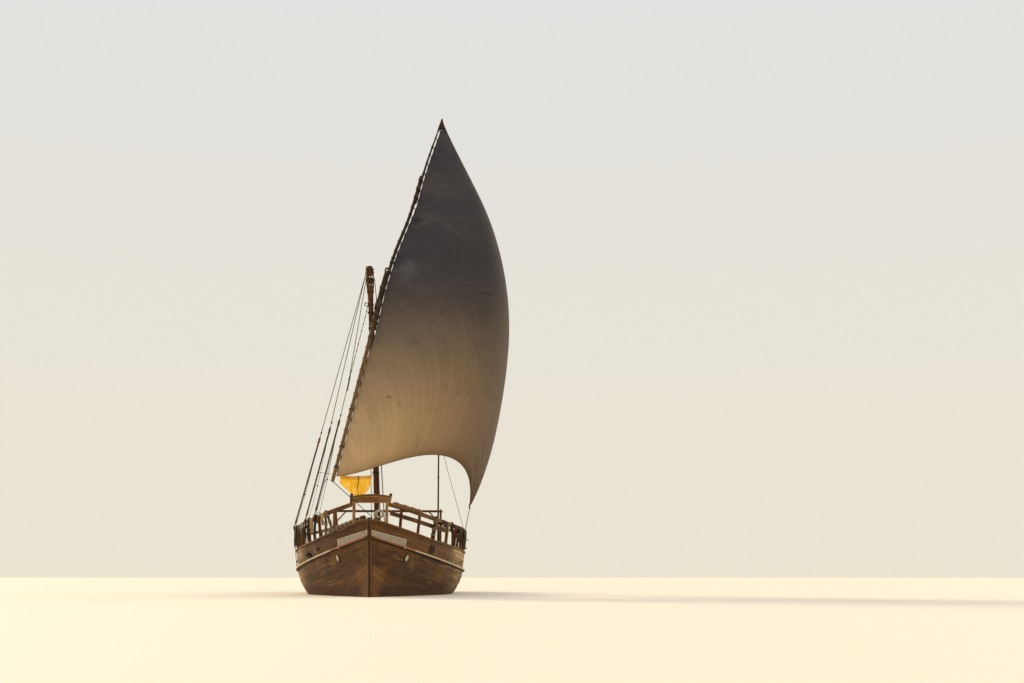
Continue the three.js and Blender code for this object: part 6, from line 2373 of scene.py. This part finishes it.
def buildFestoon():
    look = gearLook
    line, pale = [], Solids(153)
    for (start, drop), (end, _) in zip(look["festoon"], look["festoon"][1:]):
        for k in range(12):
            s = lerp(start, end, k / 12)
            line.append(onCap(-1, s, 0.02 - drop * math.sin(math.pi * k / 12), 0.072))
        pale.turns(line[-12], alongRail(-1, start), 0.03, 3, 0.012)
    pale.rope(line, 0.016)
    pale.piece("cap_festoon_rope", "paleRope", "hull", "rope")


def buildRailRopes():
    look = gearLook
    strops, coils = Solids(154), Solids(155)
    for s in look["strops"]:
        middle = railPoint(-1, s, railTopAt(s) - 0.07)
        strops.turns(middle, alongRail(-1, s), 0.118, 5, 0.018)
        strops.turns(middle + Vector((0, -0.1, -0.12)), (0, 0, 1), 0.045, 4, 0.014)
    strops.piece("shroud_strops", "whiteRope", "hull", "rope")
    for label, s in look["coils"]:
        side = sides[label]
        way = alongRail(side, s)
        for k in range(look["coilTurns"]):
            hang = look["coilHang"] + 0.03 * (k % 3)
            middle = sidePoint(side, s, waleAt(s) + railTopAt(s) - hang + 0.05, 0.035 + 0.006 * k)
            loop = ringOf(middle, way * (0.11 + 0.012 * (k % 4)), Vector((0, 0, hang)), 40)
            coils.rope(loop, look["coilRope"], closed=True)
        top = railPoint(side, s, railTopAt(s) - 0.07)
        coils.turns(top, way, 0.125, 3, 0.014)
    s = look["hungCoilAt"]
    middle = sidePoint(1, s, waleAt(s) + 0.3, 0.06)
    way = alongRail(1, s)
    for k in range(8):
        wide, tall = 0.26 - 0.018 * k, 0.2 - 0.014 * k
        loop = ringOf(middle, way * wide, Vector((0, 0.012 * (k % 2), 1)) * tall, 40)
        coils.rope(loop, 0.015, closed=True)
    s = look["rolledCoilAt"]
    coils.turns(sidePoint(-1, s, waleAt(s) + 0.2, 0.1), alongRail(-1, s), 0.075, 12, 0.016)
    coils.piece("rail_rope_coils", "tarredRope", "hull", "rope")


def buildScuppers():
    holeShades, rims = Solids(156), Solids(157)
    for label, s, rise, r in gearLook["scuppers"]:
        side = sides[label]
        z = waleAt(s) + rise
        middle = sidePoint(side, s, z)
        way = (sidePoint(side, s + 0.1, z) - sidePoint(side, s - 0.1, z)).normalized()
        up = (sidePoint(side, s, z + 0.08) - sidePoint(side, s, z - 0.08)).normalized()
        out = way.cross(up) * side * -1
        out = out if out.y * side > 0 else -out
        # A dark disc for each opening: painted shade of its inside
        holeShades.tube([middle - out * 0.04, middle, middle + out * 0.004], [r, r, r * 0.9], 20)
        loop = ringOf(middle + out * 0.004, way * r, up * r, 24)
        rims.tube(loop, 0.009, 8, closed=True, wear=0.5)
    holeShades.piece("scupper_mouths", "darkJointAndShade", "hull", "planking")
    rims.piece("scupper_rims", "oldIron", "hull", "iron")


def buildPegs():
    pegs = Solids(158)
    for label, s, rise in gearLook["pegs"]:
        side = sides[label]
        inner = sidePoint(side, s, waleAt(s) + rise, -0.16)
        outer = sidePoint(side, s, waleAt(s) + rise + 0.02, 0.13)
        path = [inner.lerp(outer, t) for t in (0, 0.5, 0.82, 0.9, 0.97, 1)]
        pegs.tube(path, [0.024, 0.026, 0.024, 0.034, 0.034, 0.022], 14, ease=0.004)
    s = gearLook["cleatAt"]
    for side in sides.values():
        z = waleAt(s) - 0.035
        middle = sidePoint(side, s, z, 0.085)
        _, way = sideFrame(side, s, z)
        pegs.beam([middle - way * 0.09, middle + way * 0.09], 0.06, 0.15, (0, 0, 1), 0.014, 0.9)
    pegs.piece("rail_pegs", "deckPlank", "hull", "upperworks")


def buildBeamKnobs():
    knob = Solids(159)
    at = Vector((bowLook["beamX"], bowLook["beamShift"] + bowLook["beamHalf"] - 0.02, 3.96))
    knob.tube([at + Vector((0, 0, z)) for z in (0, 0.12, 0.16, 0.2, 0.23, 0.245)],
              [0.045, 0.045, 0.062, 0.066, 0.05, 0.02], 18)
    at = Vector((bowLook["beamX"], bowLook["beamShift"] - bowLook["beamHalf"] - 0.035, 4.0))
    knob.beam([at + Vector((0, 0, -0.22)), at + Vector((0, 0, 0.19))], 0.13, 0.1, (1, 0, 0), 0.02)
    knob.piece("bow_beam_knobs", "stemWood", "hull", "upperworks")


# More lines of the shroud tackles, and light lines beside the mast
looseLook = {
    "tackles": (
        # upper end, station and distance out of its foot, radius
        ((5.5, -1.86, 7.5), 7.75, 0.07, 0.011), ((5.5, -1.84, 7.45), 7.15, 0.02, 0.009),
        ((4.96, -2.3, 7.2), 6.35, 0.07, 0.01), ((3.46, -2.9, 6.9), 3.1, 0.07, 0.01),
    ),
    "mastLines": (
        # side of the mast, height of its head, foot
        ((-0.05, -0.42, 0), 9.6, (3.3, -0.3, 1.66)), ((0.1, 0.34, 0), 12.2, (3.9, 0.42, 1.66)),
    ),
    "slingAt": 13.25,
}


def buildLooseRigging():
    lines = Solids(160)
    for start, foot, out, thick in looseLook["tackles"]:
        start = Vector(start)
        end = outsidePoint(-1, foot, railTopAt(foot) - 0.04, out)
        middle = start.lerp(end, 0.55) + Vector((0.0, 0.03, -0.03))
        line = curved([start, middle, end], 10)
        lines.rope(line, thick)
        lines.turns(end + Vector((0, 0, -0.02)), alongRail(-1, foot), 0.11, 3, thick)
        lines.turns(line[11], line[12] - line[11], thick * 2.3, 4, thick * 0.8)
    for beside, top, foot in looseLook["mastLines"]:
        head = mastAt(top) + Vector(beside).normalized() * (mastRadius(top) + 0.012)
        end = Vector(foot)
        lines.rope([head, end], 0.009)
        lines.turns(mastAt(top), mastAxis, mastRadius(top) + 0.011, 3, 0.011)
    lines.piece("light_lines", "tarredRope", "hull", "rope")
    sling = Solids(161)
    high = looseLook["slingAt"]
    at = yardAxisAt(high)
    t = float(np.interp(high, [yardPoint(k / 400, 0).z for k in range(401)], np.linspace(0, 1, 401)))
    way = Vector(yardTangent(t))
    sling.turns(at, way, sparRadius(0, t) + 0.022, 9, 0.02)
    sling.turns(at + way * 0.32, way, sparRadius(0, t) + 0.016, 5, 0.014)
    sling.piece("yard_sling", "yardRope", "yard", "rope")


# Repeated small shapes, set on points by one geometry tree
def makeScatterTree():
    tree = bpy.data.node_groups.new("scatterShape", "GeometryNodeTree")
    face = tree.interface
    for label, kind in (("Geometry", "Geometry"), ("Shape", "Object"), ("Size", "Float"),
                        ("Variation", "Float"), ("Material", "Material")):
        face.new_socket(label, in_out="INPUT", socket_type="NodeSocket" + kind)
    face.new_socket("Geometry", in_out="OUTPUT", socket_type="NodeSocketGeometry")
    given, out = tree.nodes.new("NodeGroupInput"), tree.nodes.new("NodeGroupOutput")
    facing = node(tree, "GeometryNodeInputNamedAttribute", {"Name": "facing"}, data_type="FLOAT_VECTOR")
    along = node(tree, "GeometryNodeInputNamedAttribute", {"Name": "along"}, data_type="FLOAT_VECTOR")
    up = node(tree, "FunctionNodeAlignRotationToVector", {"Vector": facing.outputs[0]}, axis="Z")
    turned = node(tree, "FunctionNodeAlignRotationToVector",
                  {"Rotation": up.outputs[0], "Vector": along.outputs[0]}, axis="X", pivot_axis="Z")
    low = math2(tree, "SUBTRACT", 1.0, given.outputs["Variation"])
    high = plus(tree, 1.0, given.outputs["Variation"])
    chance = node(tree, "FunctionNodeRandomValue", {2: low, 3: high, "Seed": 7}, data_type="FLOAT")
    size = times(tree, chance.outputs[1], given.outputs["Size"])
    shape = node(tree, "GeometryNodeObjectInfo", {"Object": given.outputs["Shape"]})
    put = node(tree, "GeometryNodeInstanceOnPoints", {
        "Points": given.outputs["Geometry"], "Instance": shape.outputs["Geometry"],
        "Rotation": turned.outputs[0], "Scale": size})
    real = node(tree, "GeometryNodeRealizeInstances", {"Geometry": put.outputs[0]})
    dressed = node(tree, "GeometryNodeSetMaterial", {
        "Geometry": real.outputs[0], "Material": given.outputs["Material"]})
    tree.links.new(dressed.outputs[0], out.inputs[0])
    return tree


scatterTree = makeScatterTree()


def shapeObject(name, points, faces, raised):
    mesh = bpy.data.meshes.new(name)
    mesh.from_pydata(points, [], faces)
    mesh.attributes.new("wear", "FLOAT", "POINT").data.foreach_set("value", raised)
    return linked(name, mesh)


def domeShape(name, sidesCount, profile):
    # A turned shape: profile gives (radius, height) from its foot to its top
    points = [(r * math.cos(2 * math.pi * k / sidesCount), r * math.sin(2 * math.pi * k / sidesCount), z)
              for r, z in profile for k in range(sidesCount)]
    faces = []
    for ring in range(len(profile) - 1):
        for k in range(sidesCount):
            n = (k + 1) % sidesCount
            a, b = ring * sidesCount, (ring + 1) * sidesCount
            faces.append((a + k, a + n, b + n, b + k))
    last = (len(profile) - 1) * sidesCount
    faces += [tuple(range(sidesCount - 1, -1, -1)), tuple(range(last, last + sidesCount))]
    return shapeObject(name, points, faces, [1.0] * len(points))


def rosetteShape():
    # Eight raised petals round a small boss
    points, faces, raised = [], [], []
    for k in range(8):
        angle = 2 * math.pi * k / 8
        base = len(points)
        for far, turn, z, flag in ((0.28, 0.0, 0.0, 0.4), (0.66, -0.3, 0.0, 0.6), (1.0, 0.0, 0.0, 0.6),
                                   (0.66, 0.3, 0.0, 0.6), (0.64, 0.0, 0.26, 1.0)):
            points.append((far * math.cos(angle + turn), far * math.sin(angle + turn), z))
            raised.append(flag)
        faces += [(base, base + 1, base + 4), (base + 1, base + 2, base + 4), (base + 2, base + 3, base + 4),
                  (base + 3, base, base + 4), (base + 3, base + 2, base + 1, base)]
    base = len(points)
    for r, z in ((0.24, 0.0), (0.2, 0.2)):
        points += [(r * math.cos(math.pi * k / 4), r * math.sin(math.pi * k / 4), z) for k in range(8)]
        raised += [1.0] * 8
    faces += [(base + k, base + (k + 1) % 8, base + 8 + (k + 1) % 8, base + 8 + k) for k in range(8)]
    faces += [tuple(base + 8 + k for k in range(8)), tuple(base + 7 - k for k in range(8))]
    return shapeObject("rosette", points, faces, raised)


def scattered(name, material, body, shape, marks, size, vary=0.08):
    # The shape on each mark, a (place, facing, along) set, as one plain mesh
    mesh = bpy.data.meshes.new(name)
    mesh.from_pydata([tuple(place) for place, _, _ in marks], [], [])
    for label, index in (("facing", 1), ("along", 2)):
        layer = mesh.attributes.new(label, "FLOAT_VECTOR", "POINT")
        layer.data.foreach_set("vector", np.array([tuple(m[index]) for m in marks], np.float32).ravel())
    made = linked(name, mesh)
    change = made.modifiers.new("scatter", "NODES")
    change.node_group = scatterTree
    values = {"Shape": shape, "Size": size, "Variation": vary, "Material": materials[material]}
    for item in scatterTree.interface.items_tree:
        if item.in_out == "INPUT" and item.name in values:
            change[item.identifier] = values[item.name]
    graph = bpy.context.evaluated_depsgraph_get()
    plain = bpy.data.meshes.new_from_object(made.evaluated_get(graph))
    made.modifiers.clear()
    made.data = plain
    smoothed(plain, 40)
    return settled(made, body)


def sideFrame(side, station, z):
    # Outward and fore directions of the side at a place
    along = (sidePoint(side, station + 0.1, z) - sidePoint(side, station - 0.1, z)).normalized()
    up = (sidePoint(side, station, z + 0.06) - sidePoint(side, station, z - 0.06)).normalized()
    out = along.cross(up).normalized()
    return (out if out.y * side > 0 else -out), along


nailLook = {
    "hullSize": 0.013, "topSize": 0.012, "every": 0.62, "onPlank": (0.2, 0.8), "onBoard": (0.22, 0.78),
}


def buildNails():
    nail = domeShape("nailHead", 7, ((1.0, -0.2), (1.0, 0.12), (0.72, 0.34)))
    hullMarks, topMarks = [], []
    for side in sides.values():
        for s in steps(-10.9, 10.9, nailLook["every"]):
            run, _ = girthTable(s)
            for k in range(plankLook["perSide"]):
                for inside in nailLook["onPlank"]:
                    share = bowShare(s, (k + inside) / plankLook["perSide"])
                    spot = onGirth(side, s, run[-1] * share, 0.0)
                    if spot.z < -0.2:
                        continue
                    out = onGirth(side, s, run[-1] * share, 0.02) - spot
                    hullMarks.append((spot, out.normalized(), (1, 0, 0)))
            for k in range(upperLook["boards"]):
                for inside in nailLook["onBoard"]:
                    z = waleAt(s) + bulwarkTopAt(s) * (k + inside) / upperLook["boards"]
                    if z < waleAt(s) + 0.08 or (s > bowLook["boardFrom"] and z < boardEdges(s)[1] + 0.02):
                        continue
                    out, along = sideFrame(side, s, z)
                    topMarks.append((sidePoint(side, s, z), out, along))
    scattered("hull_nails", "oldIron", "hull", nail, hullMarks, nailLook["hullSize"])
    scattered("bulwark_nails", "oldIron", "hull", nail, topMarks, nailLook["topSize"])
    bpy.data.objects.remove(nail)


ornamentLook = {"rosetteEvery": 0.165, "rosetteSize": 0.066, "beadEvery": 0.043, "beadSize": 0.011}


def buildOrnament():
    look = bowLook
    rosette = rosetteShape()
    bead = domeShape("bead", 8, ((1.0, -0.3), (0.92, 0.35), (0.55, 0.75)))
    flowers, beads = [], []
    face = look["boardGap"] + look["boardThick"]
    for side in sides.values():
        for s in steps(look["boardFrom"] + 0.13, look["boardTo"] - 0.06, ornamentLook["rosetteEvery"]):
            low, high = boardEdges(s)
            z = (low + high) / 2
            out, along = sideFrame(side, s, z)
            flowers.append((sidePoint(side, s, z, face), out, along))
        for s in steps(look["boardFrom"] + 0.06, look["boardTo"] - 0.02, ornamentLook["beadEvery"]):
            low, high = boardEdges(s)
            for z, lift in ((low + look["frame"] / 2, look["frameRaise"]),
                            (high - look["frame"] / 2, look["frameRaise"]),
                            (low + look["frame"] + 0.018, 0.0), (high - look["frame"] - 0.018, 0.0)):
                out, along = sideFrame(side, s, z)
                beads.append((sidePoint(side, s, z, face + lift), out, along))
        for s in steps(look["boardFrom"] + 0.2125, look["boardTo"] - 0.1425, ornamentLook["rosetteEvery"]):
            low, high = boardEdges(s)
            for share in (0.3, 0.5, 0.7):
                z = lerp(low, high, share)
                out, along = sideFrame(side, s, z)
                beads.append((sidePoint(side, s, z, face), out, along))
    scattered("carved_rosettes", "carvedPaint", "hull", rosette, flowers,
              ornamentLook["rosetteSize"], 0.03)
    scattered("carved_beads", "carvedPaint", "hull", bead, beads, ornamentLook["beadSize"], 0.1)
    bpy.data.objects.remove(rosette)
    bpy.data.objects.remove(bead)


def dressPlainNodes():
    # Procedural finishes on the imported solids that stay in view
    for name, material in (("keel", "backbonePlain"), ("stern_post", "backbonePlain"),
                           ("rudder", "topsidePlain"), ("gudgeon_lower", "oldIron"),
                           ("gudgeon_middle", "oldIron"), ("gudgeon_upper", "oldIron")):
        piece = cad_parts[name]
        piece.data.materials.clear()
        piece.data.materials.append(materials[material])


buildMast()
buildYard()
sail, sailArea = buildSail()
sailTrim = [buildEdgeRopes(), buildLacings(), buildSeams()]
buildShrouds()
buildHalyards()
sheetLine, sheetFoot, sheetHead = buildSheets()
tackLine, tackFoot, tackHead = buildTack()
buildStay()
buildCrossbeam()
buildCarvedBoards()
buildEyes()
buildStem()
buildTransom()
buildRudderIron()
buildTiller()
buildBulkhead()
buildHatch()
buildBitts()
buildGallows()
buildPartners()
buildHungCloth()
buildDrapes()
buildCapBundle()
buildLogAndProps()
buildBowCoil()
buildFestoon()
buildRailRopes()
buildScuppers()
buildPegs()
buildBeamKnobs()
buildLooseRigging()
buildNails()
buildOrnament()
dressPlainNodes()
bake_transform(sheetLine)
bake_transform(tackLine)
print("mast, yard, sail and rigging built")
